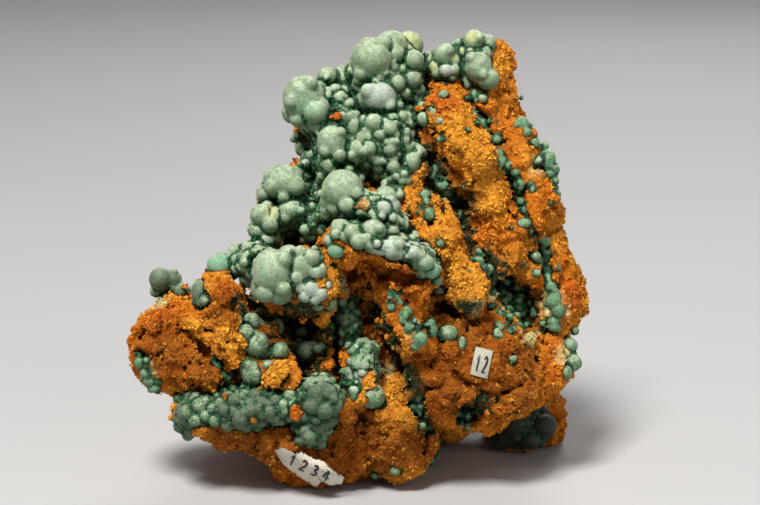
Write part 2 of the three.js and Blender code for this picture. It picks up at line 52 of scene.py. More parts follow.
MM = 0.001  # metres in a millimetre
FAR = 8.0  # mm: a place farther outside than this counts as this far
SEED = 20  # what every random draw starts from, with a number of its own added
UNSEEN = 99.0  # mm: a distance for what is too far away to matter
LIFTED = 0.02  # mm: how low crystals and grains may reach

# Masses of the rock: across, down and back, the half-widths across, down and back, and the lean in degrees.
ROCK = {
    "core": (104, 64, 20, 31, 41, 26, 4),
    "top": (110, 34, 14, 15, 20, 16, 0),
    "peak": (96, 26, 14, 10, 12, 12, 0),
    "left_shoulder": (85, 34, 15, 10, 11, 13, 0),
    "left_flank": (77, 53, 13, 12, 13, 17, 0),
    "horn": (122, 22, 9, 6.3, 12, 9, -6),
    "right_slope": (130, 54, 17, 9, 28, 20, 15),
    "plank_outer": (119.5, 41, 0, 6, 21, 9, 26),
    "plank_inner": (112, 64, -7, 5, 18, 8, 27),
    "under_boss": (77, 72, -2, 11, 10, 18, 0),
    "shelf_rock": (95, 65, -14, 14, 4.6, 11, -28),
    "spur": (101, 80, -11, 5.5, 11.5, 9, 34),
    "cavity_wall": (80, 84, 4, 14, 12, 10, 0),
    "crag": (45, 86, 0, 12, 11.6, 12, 0),
    "crag_low": (52, 93, 0, 13, 7, 11, 0),
    "pillar": (55.5, 78, -6, 4.4, 10.5, 8, 0),
    "bridge": (62, 86, 3, 11, 10, 14, 0),
    "band_rock": (62, 103, -2, 17, 6.6, 12, -2),
    "lower_left": (66, 107.5, -1, 16, 6, 12, -9),
    "wedge": (86, 97, -6, 7, 9, 9, -10),
    "lower_body": (84, 106, 8, 17, 12, 18, -6),
    "toe": (80, 116, 2, 9, 5.4, 9, -16),
    "middle_panel": (98, 105, 2, 10.5, 14, 14, 10),
    "right_panel": (118, 92, 1, 17, 16.5, 15, 0),
    "right_edge": (138.5, 76, 15, 7, 10, 14, 0),
    "right_corner": (134.5, 90, 12, 9, 8, 14, 0),
    "rear_foot": (131, 105, 40, 9.5, 9.5, 14, 0),
    "sole": (90, 110, 22, 19, 12, 20, 0),
    "back_body": (102, 76, 36, 31, 36, 22, 0),
    "rear_left": (72, 90, 34, 17, 20, 18, 0),
    "stalk": (42.6, 76, 1, 2.3, 3.4, 3, -25),
    "orange_lump": (70.3, 93.2, -10.3, 4.9, 4.2, 5, -15),
}
# Hollows: across, down, the half-widths across, down and back, and the lean in degrees.
HOLLOWS = {
    "cavity": (75, 82, 7, 4.5, 9, 0),
    "gap": (84.3, 88, 1.6, 9, 9, 4),
    "under_shelf": (96.5, 68.5, 11, 3.2, 8, -12),
    "shadow_valley": (98, 88, 2, 10, 6, 27),
    "dark_pocket": (113.5, 51, 5, 4.6, 8, 0),
    "small_pocket": (107.5, 46, 2.6, 3.4, 5, 0),
    "vug": (127, 72, 7, 5, 7, -35),
    "side_hollow": (114, 77.5, 5, 2.8, 6, 0),
    "lower_pit": (117, 104, 3.8, 4.2, 6, 0),
    "slit": (127, 98.2, 5, 1.2, 5, 35),
    "upper_cleft": (120.5, 30, 1.7, 9.5, 4, 31),
    "long_cleft": (129.3, 48, 1.7, 12, 4, 22),
    "low_cleft": (136.5, 66, 1.7, 7.5, 4, 12),
    "upper_seam": (102.3, 96.5, 1.5, 12, 4, 25),
    "lower_seam": (106.6, 108, 1.3, 7, 4, 6),
    "crag_pit": (50.5, 87, 3.4, 2.4, 4, 10),
    "neck_pit": (58.5, 77.5, 2, 2.6, 5, 0),
}
# The beds that the balls of malachite sit on, by their crust, measured as the rock is.
BEDS = {
    "crown": [
        (78, 26, 4, 6, 6, 9, 0), (84, 30, 3, 8, 9, 10, 0), (96, 20, 5, 9.5, 10.5, 10, 0),
        (96, 34, 2, 9, 10, 10, 0), (84, 40, 2, 9, 9, 11, 0), (100, 43, 1, 4, 8, 8, 0),
        (106.5, 27, 4, 4, 5, 6, 0),
    ],
    "shoulder": [
        (72, 48, 2, 7, 6.5, 10, 0), (68, 56, 0, 5.5, 6, 10, 0), (79, 54, -2, 8, 7, 11, 0),
    ],
    "boss": [
        (71, 69, -13, 8, 6.3, 9, 0), (79, 68, -12, 6, 6, 8, 0), (64, 65, -6, 5, 5, 8, 0),
    ],
    "shelf": [
        (86, 51, -9, 6, 6, 8, 0), (94, 54, -13, 8, 5, 9, -25), (92, 60, -17, 9, 3.4, 9, -20),
        (104, 64, -16, 7, 3.6, 9, -40),
    ],
    "horn": [
        (112, 17, 7, 6, 5, 7, 0), (119, 15, 6, 5, 6.5, 7, 0),
    ],
    "knob": [
        (41, 70.6, 2, 4, 2.8, 4, -10), (45.6, 74.5, 2, 1.8, 3.6, 3, -35),
    ],
    "tip": [
        (55.5, 67, -1, 3.6, 3.4, 5, 0), (60, 65, -1, 3.5, 4, 6, 0), (50.5, 74, 0, 2.3, 3, 4, 0),
    ],
    "cavity": [
        (63.5, 83, -4, 4, 5, 5, 0), (65, 90, -6, 5, 5.5, 6, 0), (73, 87, 0, 7, 2.2, 5, 0),
    ],
    "band": [
        (50, 103, -5, 6.5, 5.5, 9, 0), (61, 102, -9, 9, 5.5, 9, 0), (71, 101, -10, 8, 4.5, 8, 0),
        (80, 100, -13, 6, 6.5, 8, 0), (78, 107, -10, 4.5, 5, 7, 30),
    ],
    "drape": [
        (87, 80, -4, 3.4, 8, 5, 10), (90, 93, -9.5, 4.4, 9, 6, -12), (92.5, 98.5, -11, 4.4, 3.6, 5, -30),
    ],
    "foot": [
        (131, 106, 30, 8, 6.5, 6, 0),
    ],
}
# Balls: across, down, radius, then how tall as a share of it and the lean in degrees where these matter.
BALLS = {
    "crown": [
        (75.9, 24.4, 5.3, 1.1), (73.3, 28, 2.9), (79.3, 27, 3.2), (76.3, 30.5, 1.8), (79, 31, 2),
        (77.5, 31.5, 1.6), (81.8, 19, 2.5), (85.8, 18.5, 2.3), (83.8, 22.3, 1.6), (85.3, 20.8, 1.3),
        (81.7, 24, 1.3), (93, 14.5, 5.2), (97.8, 11.4, 4), (102.2, 11.3, 3.7), (103, 15.2, 3),
        (97, 13.8, 1.6), (92.5, 17.8, 2.4), (96, 16.8, 1.4), (98.5, 16.6, 1.3), (100.5, 17, 1.3),
        (89.8, 21, 1.9, 1.15), (94.6, 23.9, 4.6, 0.84), (91.8, 24.8, 2.9), (91.3, 26.2, 2),
        (99.3, 20.6, 2.1),
        (103, 19.5, 2.4), (104.6, 22.6, 1.9), (101.2, 23, 1.6), (103.8, 24.3, 1.3), (99.5, 26.2, 1.5),
        (100.5, 29, 1.6), (103, 29.5, 1.1), (102, 27, 1), (105.5, 26.5, 1.3), (108, 27, 1.3),
        (106, 29.6, 1.9), (108.8, 28.3, 1.5), (110, 30.3, 1.2), (88.2, 31.6, 2, 1.3, -20),
        (82.9, 35.4, 3.6, 1.22), (93.5, 30.6, 2.3), (97.5, 32, 2), (95, 33.5, 1.6), (98.8, 33.5, 1.3),
        (91.6, 32.5, 1.3), (96.3, 30.5, 1.3), (90.5, 34.3, 1.9), (89, 37.2, 2.4), (92.3, 37, 2.1),
        (93, 38.8, 1.6), (97.5, 37.2, 1.8), (95.5, 39.3, 1.1), (98.8, 35.5, 1.1), (94.8, 41.5, 1.8),
        (98.3, 41.5, 1.8), (96.5, 43.3, 1.8), (94.3, 43.8, 1.3), (92.8, 40.8, 1.1), (99, 44, 1.3),
        (97, 45.5, 1.1), (102.8, 40.3, 2.6, 1.2), (104.7, 37.3, 2.5, 0.55, -35), (74.3, 34, 1),
        (75, 37, 1.3, 1.5), (75.5, 41.2, 1.3), (82, 40.8, 1.5, 1.5), (85, 38.8, 1.3), (100, 47, 1.3),
        (101, 44.5, 1), (99.3, 49, 1),
    ],
    "shoulder": [
        (69, 44.5, 3.3), (71.2, 45.4, 4.5), (73.3, 43.6, 2.4), (66.5, 48.3, 2.5), (65.3, 53.6, 2.8),
        (64.5, 57.5, 2.2), (67.6, 56, 2.1), (72.8, 52.3, 3.4, 0.8, 15), (68.8, 53.8, 1.9, 1.3),
        (66.8, 59.5, 2), (63, 57, 1.2), (62.3, 61.5, 1.3), (63.5, 63, 1.1), (61.3, 65.5, 1.5),
        (76.3, 57.3, 1.5), (78, 59, 1.3),
    ],
    "boss": [
        (67.9, 67.8, 4.9, 1.2), (69.8, 72.6, 3.5), (65.6, 71.8, 3, 1.2), (75.6, 66.2, 4.5), (72.2, 64, 3),
        (79.3, 67.6, 2.5), (75, 71.3, 2), (78, 72, 2.3), (80, 73.3, 2), (76.3, 73.8, 1.8),
        (81.6, 71.3, 1.5), (78.8, 74.6, 1.5), (84, 62.6, 2.3, 0.8), (84.5, 66.2, 1.6, 1.4),
        (82.5, 60, 1.8), (80.5, 61.8, 1.5), (82.5, 75.8, 1.8), (85.6, 75.4, 1.3), (79.5, 76.3, 1.5),
        (62, 69.6, 2.3), (64.3, 65.5, 1.3),
    ],
    "shelf": [
        (85.6, 47.4, 5.2), (82, 50, 2.1), (83.8, 51.8, 2), (87.5, 50.8, 2.3), (81.5, 53.5, 1.6),
        (86.3, 53.5, 1.5), (89.3, 48.8, 1.5), (91.3, 49, 1.3), (93, 50, 1.3), (96.6, 49.3, 3.1),
        (98, 51.5, 2.3), (95.8, 52, 2), (85, 57, 2.5), (88, 57.8, 2), (93.3, 58, 3.3),
        (97.5, 57.8, 2.3), (89.6, 60.3, 2.1), (86.3, 59, 1.5), (93.8, 60.8, 1), (98.6, 62, 3.2),
        (96.3, 61.3, 1.6), (100.6, 62.5, 2.1), (103.5, 63, 1.8), (106.5, 65.5, 2), (108, 67.5, 2),
        (109.3, 70, 1.5), (105, 63.8, 1.4), (103.8, 59.5, 2.1), (100.8, 57.8, 1.8), (107.5, 61.3, 1.3),
        (109.2, 72.3, 1),
    ],
    "horn": [
        (107, 14.5, 1.8), (108.8, 16.5, 1.6), (106.3, 17, 1.1), (111.3, 13.6, 2.8), (114.3, 12.6, 2.4),
        (113.8, 15, 1.6), (111.5, 17.3, 1.8), (113.8, 17.3, 1.5), (113, 19, 1.3), (118.5, 10, 2.8),
        (121.8, 10.6, 2.3), (116, 11, 1.6), (115.8, 13, 1.5), (119.6, 16.6, 3.4, 1.15),
        (122, 19.6, 2.8), (116.9, 18.8, 1.2, 3), (118.8, 23, 1.2), (120.5, 24.3, 1), (117.5, 21.3, 1),
    ],
    "knob": [
        (40, 69.6, 2.8), (43, 69.6, 2.5), (39, 72.6, 1.7), (45, 72.6, 1.8, 1.3), (41, 73.2, 1.3),
    ],
    "tip": [
        (55, 66.3, 3.3), (59.2, 67, 1.8), (59, 62.6, 2), (61.6, 61.8, 1.3), (50, 73, 2.3, 1.4),
        (51.3, 75, 1.5), (49, 75.8, 1),
    ],
    "cavity": [
        (62.5, 80.5, 2.5), (61.5, 83, 2), (64.3, 86, 3.1), (66.3, 88, 2), (70, 87.6, 2.3),
        (63, 92.5, 3, 1.3), (69.3, 81.8, 1.8, 1.3), (75.5, 83.3, 1.8), (76.3, 87.5, 2.2),
        (78.6, 86.5, 1.5), (80.5, 86.6, 1.3, 1.4), (67, 91.3, 1.5), (64.5, 94.5, 1.5),
    ],
    "band": [
        (47.5, 98.8, 1.3), (50, 101.3, 2.02), (46.3, 103, 2.02), (48.8, 105, 1.76), (45, 106.3, 1.76),
        (47, 108.5, 1.67), (51.3, 103.8, 1.58), (53.8, 105, 1.76), (52.5, 100.5, 1.5), (56.3, 102.5, 1.5),
        (58.8, 100, 1.76), (60, 104.5, 2.02), (57, 106, 1.76), (62.5, 102.5, 1.76), (63.8, 98.8, 1.76),
        (65.5, 100.5, 1.58), (67.5, 102.5, 1.58), (66.3, 98, 1.3), (61.3, 97, 1.58), (68.8, 100, 1.5),
        (72.5, 98.8, 1.76), (71.3, 102.5, 1.3), (75, 97.5, 1.58), (61.3, 106.3, 1.5), (77.5, 96.3, 1.76),
        (78.8, 98, 2.02), (82, 98, 2.2), (83.8, 101.3, 2.02), (81.3, 102.5, 2.2), (78, 101.3, 2.02),
        (79.5, 106.3, 1.76), (82.5, 105, 1.76), (76.3, 103.8, 1.58), (77.5, 108.8, 1.76), (75, 110, 1.5),
        (75.8, 94.5, 1.5), (78.8, 93.8, 1.5), (81.8, 95.5, 1.3), (44.5, 99.5, 1.3),
    ],
    "drape": [
        (87.5, 76.3, 1.3), (86.8, 78.8, 1), (88.8, 78, 1), (91.3, 75, 1), (86.3, 80.5, 1.3),
        (88.8, 81.3, 1), (85.8, 83, 1.3), (87.5, 82.5, 1), (85.8, 85.5, 1.3), (87.5, 87.5, 1),
        (89.3, 85, 0.8), (86.3, 92.5, 1.1), (90.5, 93, 1.2), (92.5, 90, 1), (95, 98, 1), (88.8, 98, 1.1),
    ],
    "spur": [
        (112, 83.3, 2.5, 0.9), (115.5, 86.3, 1, 1.3), (105, 84.5, 2), (106.8, 87.5, 1.3),
        (103.8, 86.3, 1.5), (100, 75.5, 1.3), (102, 77.5, 1.3), (99.5, 73.8, 1),
    ],
    "cleft": [
        (130.5, 31, 2), (133.8, 35.5, 1.3), (137, 40, 2.2, 1.3), (118.3, 28.5, 1.3), (121, 30.8, 1.5),
        (125.5, 40, 1.5), (127.5, 41.3, 1.5), (128.8, 43, 1.3), (129.8, 46.3, 1.5), (130.8, 50, 1.5),
        (131.8, 52.5, 1.5), (132.8, 54.5, 1.3), (136.8, 67, 1.3), (137, 69, 1.5), (136.3, 63, 1.3),
        (138.3, 75, 2), (137.5, 71.5, 1.5), (139.5, 77.5, 1.8), (138.3, 80, 1.5),
    ],
    "edge": [
        (142.5, 86.3, 2), (143, 90.5, 2.5), (141.3, 93, 1.8), (143.5, 82.5, 1.3),
    ],
    "crag": [
        (35, 90.5, 1.5), (36.3, 93, 1.3), (37.5, 95, 1.5),
    ],
    "foot": [
        (136.3, 106.3, 3), (125, 110, 2.5), (132.5, 110, 2.5), (128.8, 106.3, 2.3),
    ],
    "bottom": [
        (107.5, 116.3, 2), (98.8, 117.5, 1.3), (93.8, 118.5, 1.3),
    ],
}
# Balls that grew on the larger ones: across, down and radius.
STACKED = {
    "crown": [
        (78.9, 27.8, 3.1), (80, 31.2, 2.1), (74.4, 29.6, 2.1), (98.8, 13.2, 2.3), (103.4, 14.8, 2.5),
        (94.6, 19.2, 2),
        (90.3, 18.2, 1.9), (85, 33, 1.5), (84.8, 38.6, 1.7), (81.2, 37.8, 1.4), (95.8, 10.6, 2.2),
        (92, 22.6, 1.9),
        (97.4, 26, 1.7), (72.8, 25.4, 1.8), (77.5, 20.8, 2),
    ],
    "shoulder": [
        (74, 46.4, 2.4), (71, 48.9, 1.7), (67.9, 46.6, 2.1), (66.9, 51.4, 1.5), (71.4, 54.2, 1.4),
    ],
    "boss": [
        (70.6, 72, 2.2), (66.4, 73, 2.6), (77.8, 64.4, 2.3), (74, 69.2, 2.2), (78.9, 68, 1.7),
        (70.6, 64.8, 2.4),
        (75, 63, 1.8),
    ],
    "shelf": [
        (86.8, 51.2, 2.2), (81.6, 52.2, 1.7), (89, 48.4, 1.8), (94.6, 57, 1.5), (91.8, 59.4, 1.4),
        (99.6, 61, 1.6),
        (97.6, 49.8, 1.6),
    ],
    "horn": [(118, 14.4, 1.7), (120.8, 18.4, 1.6), (112.2, 12.6, 1.4), (119.6, 9.4, 1.4)],
    "cavity": [(65.4, 84.8, 1.5), (62, 91, 1.4), (64.6, 93.4, 1.5), (61.6, 79.6, 1.2)],
    "band": [(80.6, 96.6, 1.6), (83.2, 99.6, 1.5), (79.4, 99.8, 1.5), (51.2, 100.2, 1.2), (60.6, 103, 1.3)],
}
# The corners of the two labels on the front sheet.
CATALOGUE_LABEL = [
    (68.5, 112.5), (70.5, 111.6), (73.5, 113.2), (75.5, 112.8), (78.5, 114.6), (81, 115.2),
    (83.2, 117.4), (86.2, 119.2), (85.4, 121), (82.5, 121.3), (80.6, 120.4), (78.8, 121.6),
    (75.4, 119.5), (72.6, 117.6), (70.2, 115.2),
]
NUMBER_STICKER = [
    (118.9, 86.4), (123.3, 87.5), (121.8, 94.6), (117.5, 93.4),
]

# Gullies and gaps: half-width and depth, then the route that they follow on the front sheet.
GULLIES = {
    "upper_cleft": (1.1, 2.4, [(117.5, 23.8), (119.5, 28), (122.5, 33.8), (125.8, 37.5)]),
    "long_cleft": (1.2, 2.6, [(124.5, 40), (128, 43), (129, 48.8), (132, 55), (133.8, 58.8), (136, 65)]),
    "black_hollow": (
        2.3, 4.5, [(106.3, 38), (109.3, 42.5), (110, 46.3), (112.3, 50), (115, 52), (117.2, 50)],
    ),
    "inner_run": (1.8, 3.2, [(116, 54), (117.5, 60), (119, 65)]),
    "vug": (3.1, 3.2, [(121, 66), (124.5, 68.5), (129, 73), (131, 77.5)]),
    "side_hollow": (1.9, 4, [(110, 76.3), (113.8, 78), (117, 77)]),
    "valley": (1.9, 3.6, [(94.5, 77), (96.3, 82.5), (99.5, 88.8), (102.5, 95), (105, 100), (106.8, 107.5)]),
    "slit": (0.6, 3, [(125, 100), (128, 97), (130.5, 95)]),
    "low_pit": (2.3, 2.6, [(115, 104), (117.5, 101.5), (120.5, 100.8)]),
    "ledge_shade": (2, 3.6, [(88, 67.8), (92.5, 67), (96, 69.5), (97.5, 72)]),
    "drape_shade": (1.9, 3.4, [(91.3, 80), (94, 79)]),
    "drape_slit": (1.5, 4.5, [(83.5, 76), (83.3, 82.5), (83.5, 90), (85.6, 98)]),
    "crag_hole": (1.2, 3, [(46.5, 85.8), (50.8, 88), (53, 90.5)]),
    "crag_crack": (0.8, 1.8, [(44.5, 82.5), (48.8, 82), (51.3, 79.5), (53.3, 77.5)]),
    "crag_foot": (1.2, 3, [(45.8, 94.5), (48.8, 97), (52.5, 98.5)]),
    "crag_notch": (1, 2.4, [(52, 82.5), (54.5, 81.3), (56.3, 80.5)]),
    "crag_seam": (0.7, 1.8, [(53.8, 87.8), (56, 87), (58.6, 86.3)]),
    "window": (1.3, 3, [(57.5, 76.5), (59, 78)]),
    "block_seam": (0.7, 1.5, [(112, 91), (116, 96), (121, 97.5), (125, 99)]),
    "right_seam": (0.8, 1.6, [(133, 88), (136, 92), (138, 97)]),
}
GAPS = {
    "cap_under": (0.9, 2.2, [(89.5, 28.2), (95, 28.5), (101, 27.4)]),
    "cap_right": (1, 2.4, [(100, 24.3), (102.6, 26.2), (104.3, 31.5), (103.3, 35.5)]),
    "cap_left": (0.9, 2.4, [(87.8, 19), (87.6, 23), (88.5, 26.5)]),
    "crown_edge": (1.3, 3.4, [(106.6, 18.8), (107.3, 22.5), (106.3, 25)]),
    "knot_right": (0.8, 2, [(99.8, 32), (100.8, 37), (100.2, 42)]),
    "green_patch": (1, 2.2, [(85.8, 25.3), (82.6, 25.6), (81.3, 28)]),
    "dome_left": (0.8, 2, [(86, 35), (86.8, 38), (85, 41)]),
    "left_deep": (2.2, 4.5, [(76.4, 34), (77.6, 39), (78.3, 44), (77.8, 50), (76.3, 55), (74, 60)]),
    "shoulder_under": (0.8, 2.5, [(68.5, 50.4), (71.5, 49.2), (75.2, 47)]),
    "shoulder_low": (1.6, 3.5, [(70, 57.2), (72.5, 59.5), (75.5, 61.5)]),
    "over_dome": (1.1, 3.2, [(82.3, 41.2), (88, 41.2), (93, 45), (95, 47)]),
    "under_dome": (0.8, 3, [(80, 56), (84, 54.9), (89, 54.9), (94.5, 55), (99, 55.6)]),
    "shelf_right": (0.8, 2.4, [(100, 56.3), (101.6, 59.6), (105.5, 61.3)]),
    "boss_under": (1.7, 4, [(62.2, 73), (65.5, 77.8), (72, 78.2), (79, 79)]),
    "boss_left": (0.9, 2.6, [(63.2, 63.2), (63.4, 68), (63, 72)]),
    "boss_crease": (0.5, 1.6, [(71.8, 61.5), (71, 67), (73.2, 73)]),
    "cavity": (2.4, 5, [(67.5, 79.5), (74, 79.8), (80, 81.5)]),
    "cavity_floor": (1.1, 2.6, [(66.5, 84), (71.8, 84.3), (74, 85.8)]),
    "cavity_right": (1.4, 3, [(75.5, 91.5), (78.5, 92.3)]),
}
# Gullies whose walls are painted black-green: partly the malachite's stain, partly painted shade.
STAINED_SHADED_GULLIES = (
    "black_hollow", "inner_run", "vug", "side_hollow", "valley", "low_pit", "drape_slit", "long_cleft",
)
# Planks of rock that stand proud: half-width and height, then their route.
PLANKS = {
    "long_plank": (3.6, 1.5, [(110, 25), (116, 35), (121, 44), (124.5, 54), (129.5, 62.5)]),
    "bright_plank": (2.2, 1.4, [(109, 52.5), (112, 61), (116, 69), (119.5, 76)]),
    "right_plank": (2.3, 1.1, [(127.5, 29), (132.5, 38), (136, 50), (138.5, 58)]),
    "crag_plank": (1.5, 1.1, [(48.5, 90.5), (51, 94), (52.8, 98)]),
    "crag_top": (1.4, 0.9, [(48, 79), (51, 82.5)]),
    "window_post": (1.8, 1, [(56.3, 73), (56, 77), (56.8, 82), (58, 88)]),
    "valley_left": (2.2, 1, [(99, 93), (101.5, 100), (102, 108)]),
    "valley_right": (2.4, 1, [(104, 88), (109, 96), (111, 104)]),
    "foot_lip": (1.6, 1, [(124, 102.5), (130, 100), (134.5, 98)]),
    "paper_ledge": (2.2, 1.9, [(67.5, 113.2), (71, 117.2), (75.5, 120.3)]),
}

# Places where the rock shows through the malachite: across, down and radius.
WINDOWS = [
    (70.3, 92.8, 2.7), (68.3, 95.6, 1.7), (73, 95.3, 1.9), (74.3, 102.9, 1.8), (83.6, 28.9, 1.7),
    (90.6, 51.5, 1.3),
    (58.6, 89.5, 1.4), (56.3, 99.2, 0.9), (63.6, 104.6, 0.9), (66.8, 84.6, 0.9), (43.5, 104.2, 1.2),
    (96.8, 74.3, 1.5),
]

# Trails of small teal malachite along the clefts: how far aside they stray, and their route.
TEAL_TRAILS = {
    "upper_cleft": (1, [(117.5, 24), (118.6, 28.7), (121.3, 31), (124.2, 34), (125.3, 38.5)]),
    "long_cleft": (1.3, [(125, 39.5), (129.3, 44.8), (130.8, 50), (132.3, 54), (134, 57)]),
    "low_cleft": (1.6, [(134.4, 58), (136.2, 63.8), (137.3, 68.5), (138.3, 75), (138.5, 83)]),
    "right_edge": (0.8, [(131, 30.5), (135.5, 37), (138.4, 44), (140.5, 53)]),
    "valley": (1, [(104, 99), (106.5, 106), (108.5, 114)]),
    "inner_slope": (0.9, [(105.5, 47), (107, 54), (102, 49)]),
    "vug": (2.2, [(120, 63), (121.5, 68), (124, 73), (127, 79), (130, 80)]),
    "vug_middle": (2.4, [(122, 66), (126, 70), (130, 76), (133, 80)]),
    "black_hollow": (1.3, [(108, 41), (110.5, 46), (113, 51)]),
    "low_pit": (1, [(114.5, 104), (117.5, 106), (119, 107)]),
    "crag_edge": (1, [(34, 89), (36.5, 94.5), (41, 97.5)]),
    "spur": (1.1, [(98, 73), (101, 78), (104, 82), (105.5, 86)]),
    "cream_run": (1.4, [(106, 81), (108.5, 81.5)]),
    "band_rim": (0.9, [(53, 89), (55, 93), (58, 95.5)]),
}
# Single teal tufts: across, down and radius.
TEAL_SPOTS = [
    (111, 21, 0.9), (111.5, 23.3, 1.2), (112.5, 26.3, 0.8), (110.8, 34.5, 1.1), (108, 33.5, 0.8),
    (117, 32.3, 0.9), (113.8, 38.3, 0.9), (116.5, 46, 0.9), (111, 49.8, 1.3), (108.3, 51.8, 1.1),
    (106.5, 54.3, 0.9), (124.3, 81.3, 1.3), (125, 83.8, 1.2), (104.8, 84.3, 1.5), (110, 42, 0.8),
    (114.5, 53, 0.8), (119, 57.5, 0.7), (110, 61, 0.8), (119.5, 75.5, 1), (128, 57, 0.8),
    (131, 66, 0.9), (134, 84, 1.1), (128, 90, 0.9), (102.5, 47.5, 0.8), (104, 50.5, 0.9), (106, 47, 0.7),
    (108.5, 43, 1.2), (109, 45, 0.9), (121.3, 31, 1.2), (132.5, 46, 0.9), (133.5, 49, 0.8),
    (130.3, 24.5, 0.7),
]
# Patches of rock of one colour: across, down and how wide.
CREAM_PATCHES = [
    (137.5, 77, 5), (142.3, 89, 4.5), (108, 16.5, 3), (121, 11, 3), (133, 84, 3), (93, 51, 3.5),
    (124, 73, 4), (127, 77, 3), (121.5, 69, 2.5), (36, 93, 4), (62, 79, 3), (118, 76.5, 3), (104, 83, 3),
    (97, 93, 4), (40, 75, 4),
    (86, 71.5, 2.5), (134, 42, 3),
]
YELLOW_PATCHES = [
    (113, 29, 6), (117, 37, 6), (123, 46, 5), (112, 24, 4),
    (112, 63, 7), (113, 66, 5), (114, 33, 6), (121, 49, 7), (97, 99, 5), (103, 104, 5), (70.8, 93.2, 3),
    (116, 70, 6), (84, 72, 5), (70.5, 93, 4), (120, 50, 6), (110, 54, 4), (58, 86, 5), (120, 42, 5),
    (49, 82, 4), (52, 96, 4), (125, 15, 5),
]
RUST_PATCHES = [
    (143, 74, 5), (111, 25, 5), (40, 78, 5), (57, 72, 4), (84, 29, 3), (108, 33, 4), (121, 12, 3),
    (75, 104, 4),
    (41, 104, 2), (139, 104, 3), (100, 72, 6),
]
# Patches of painted shade on the rock, where it faces down or lies low: across, down and how wide.
SHADED_PATCHES = [
    (100, 69, 8), (113, 95, 12), (90, 112, 14), (62, 110, 14), (55, 76, 5), (94, 80, 6), (104, 110, 10),
    (130, 92, 11), (126, 98, 10), (118, 97, 10), (108, 92, 7), (41, 88, 9), (52, 92, 6), (120, 83, 8),
]
# Patches of rock painted nearly black-green: partly the malachite's stain, partly painted shade under the boss
# and in the cavity.
STAIN_AND_SHADE_PATCHES = [
    (66, 75.5, 5), (71, 76, 5.5), (77, 76.5, 5), (83, 77, 3), (62.5, 79, 3), (58, 93, 2.5), (72.5, 82, 8),
    (78, 87.5, 6), (82.5, 84, 5), (60.5, 76, 3.5), (67, 79, 5), (133, 104, 5),
]
# Patches of malachite: frosted, teal, darkened by painted shade, and yellowed.
PALE_DOMES = [
    (95, 24, 4.4), (67.3, 59.3, 2.1), (97.5, 52, 3.4), (78.5, 72.5, 4), (75.5, 40.8, 1.5), (96, 61.5, 3),
    (102, 62.3, 2.6), (112, 17.5, 2), (91, 95, 4),
]
TEAL_DOMES = [(54.8, 66.3, 3.6), (84.5, 63.5, 2.6), (84.5, 67, 2), (107.6, 68, 3)]
# Painted shade: darker, duller green where the malachite faces down or lies low, on the band, the knob and the
# foot.
SHADED_DOMES = [
    (130, 107, 12), (44, 104, 7), (80, 103, 8), (60, 104, 8), (66, 99, 5), (88, 78, 5), (72, 80, 6),
    (50, 73, 3),
    (41, 71, 5),
]
YELLOWED_DOMES = [
    (93, 95, 4), (102, 10.5, 3.6), (107.8, 15.5, 3), (80.5, 47, 1.8), (68, 53, 2), (114, 13, 2.5),
    (118, 9, 2),
]


@dataclass(frozen=True)
class FrontSheet:
    """The sheet on which places are read: mm across and down as they are seen, and mm back behind it.

    It stands square to the line of sight, which meets it at its centre. The origin is the place on it that
    lies so many mm above the specimen's own origin and forward of it.
    """

    distance: float = 560.0
    elevation: float = math.radians(12)
    centre: tuple[float, float] = (95.0, 63.0)
    origin: tuple[float, float] = (92.0, 62.0)
    height: float = 58.7
    forward: float = 14.0
    width: float = 190.0

    @property
    def axes(self) -> np.ndarray:
        """The directions across, back and up, as rows."""
        rise, level = math.sin(self.elevation), math.cos(self.elevation)
        return np.array([[1, 0, 0], [0, level, -rise], [0, rise, level]])

    def placed(self, across: np.ndarray, down: np.ndarray, depth: np.ndarray) -> np.ndarray:
        """Turns places on the sheet into places on the specimen.

        Args:
            across: mm from the sheet's left edge.
            down: mm from its top edge.
            depth: mm behind it, along the line of sight.

        Returns:
            The points, with their coordinates last.
        """
        to_right, to_back, to_top = self.axes
        across, down, depth = (np.asarray(v, float)[..., None] for v in (across, down, depth))
        start = np.array([0, -self.forward, self.height])
        start = start + to_right * (across - self.origin[0]) + to_top * (self.origin[1] - down)
        aside = to_right * (across - self.centre[0]) + to_top * (self.centre[1] - down)
        return start + (aside / self.distance + to_back) * depth

    def read(self, points: np.ndarray) -> tuple[np.ndarray, np.ndarray, np.ndarray]:
        """Turns places on the specimen into places on the sheet.

        Args:
            points: points, with their coordinates last.

        Returns:
            The mm across, down and back of each.
        """
        seen = (points - self.eye) @ self.axes.T
        scale = self.distance / seen[..., 1]
        across = self.centre[0] + seen[..., 0] * scale
        down = self.centre[1] - seen[..., 2] * scale
        return across, down, seen[..., 1] - self.distance

    @property
    def eye(self) -> np.ndarray:
        """The place that the specimen is seen from."""
        return self.placed(*self.centre, -self.distance)


SHEET = FrontSheet()


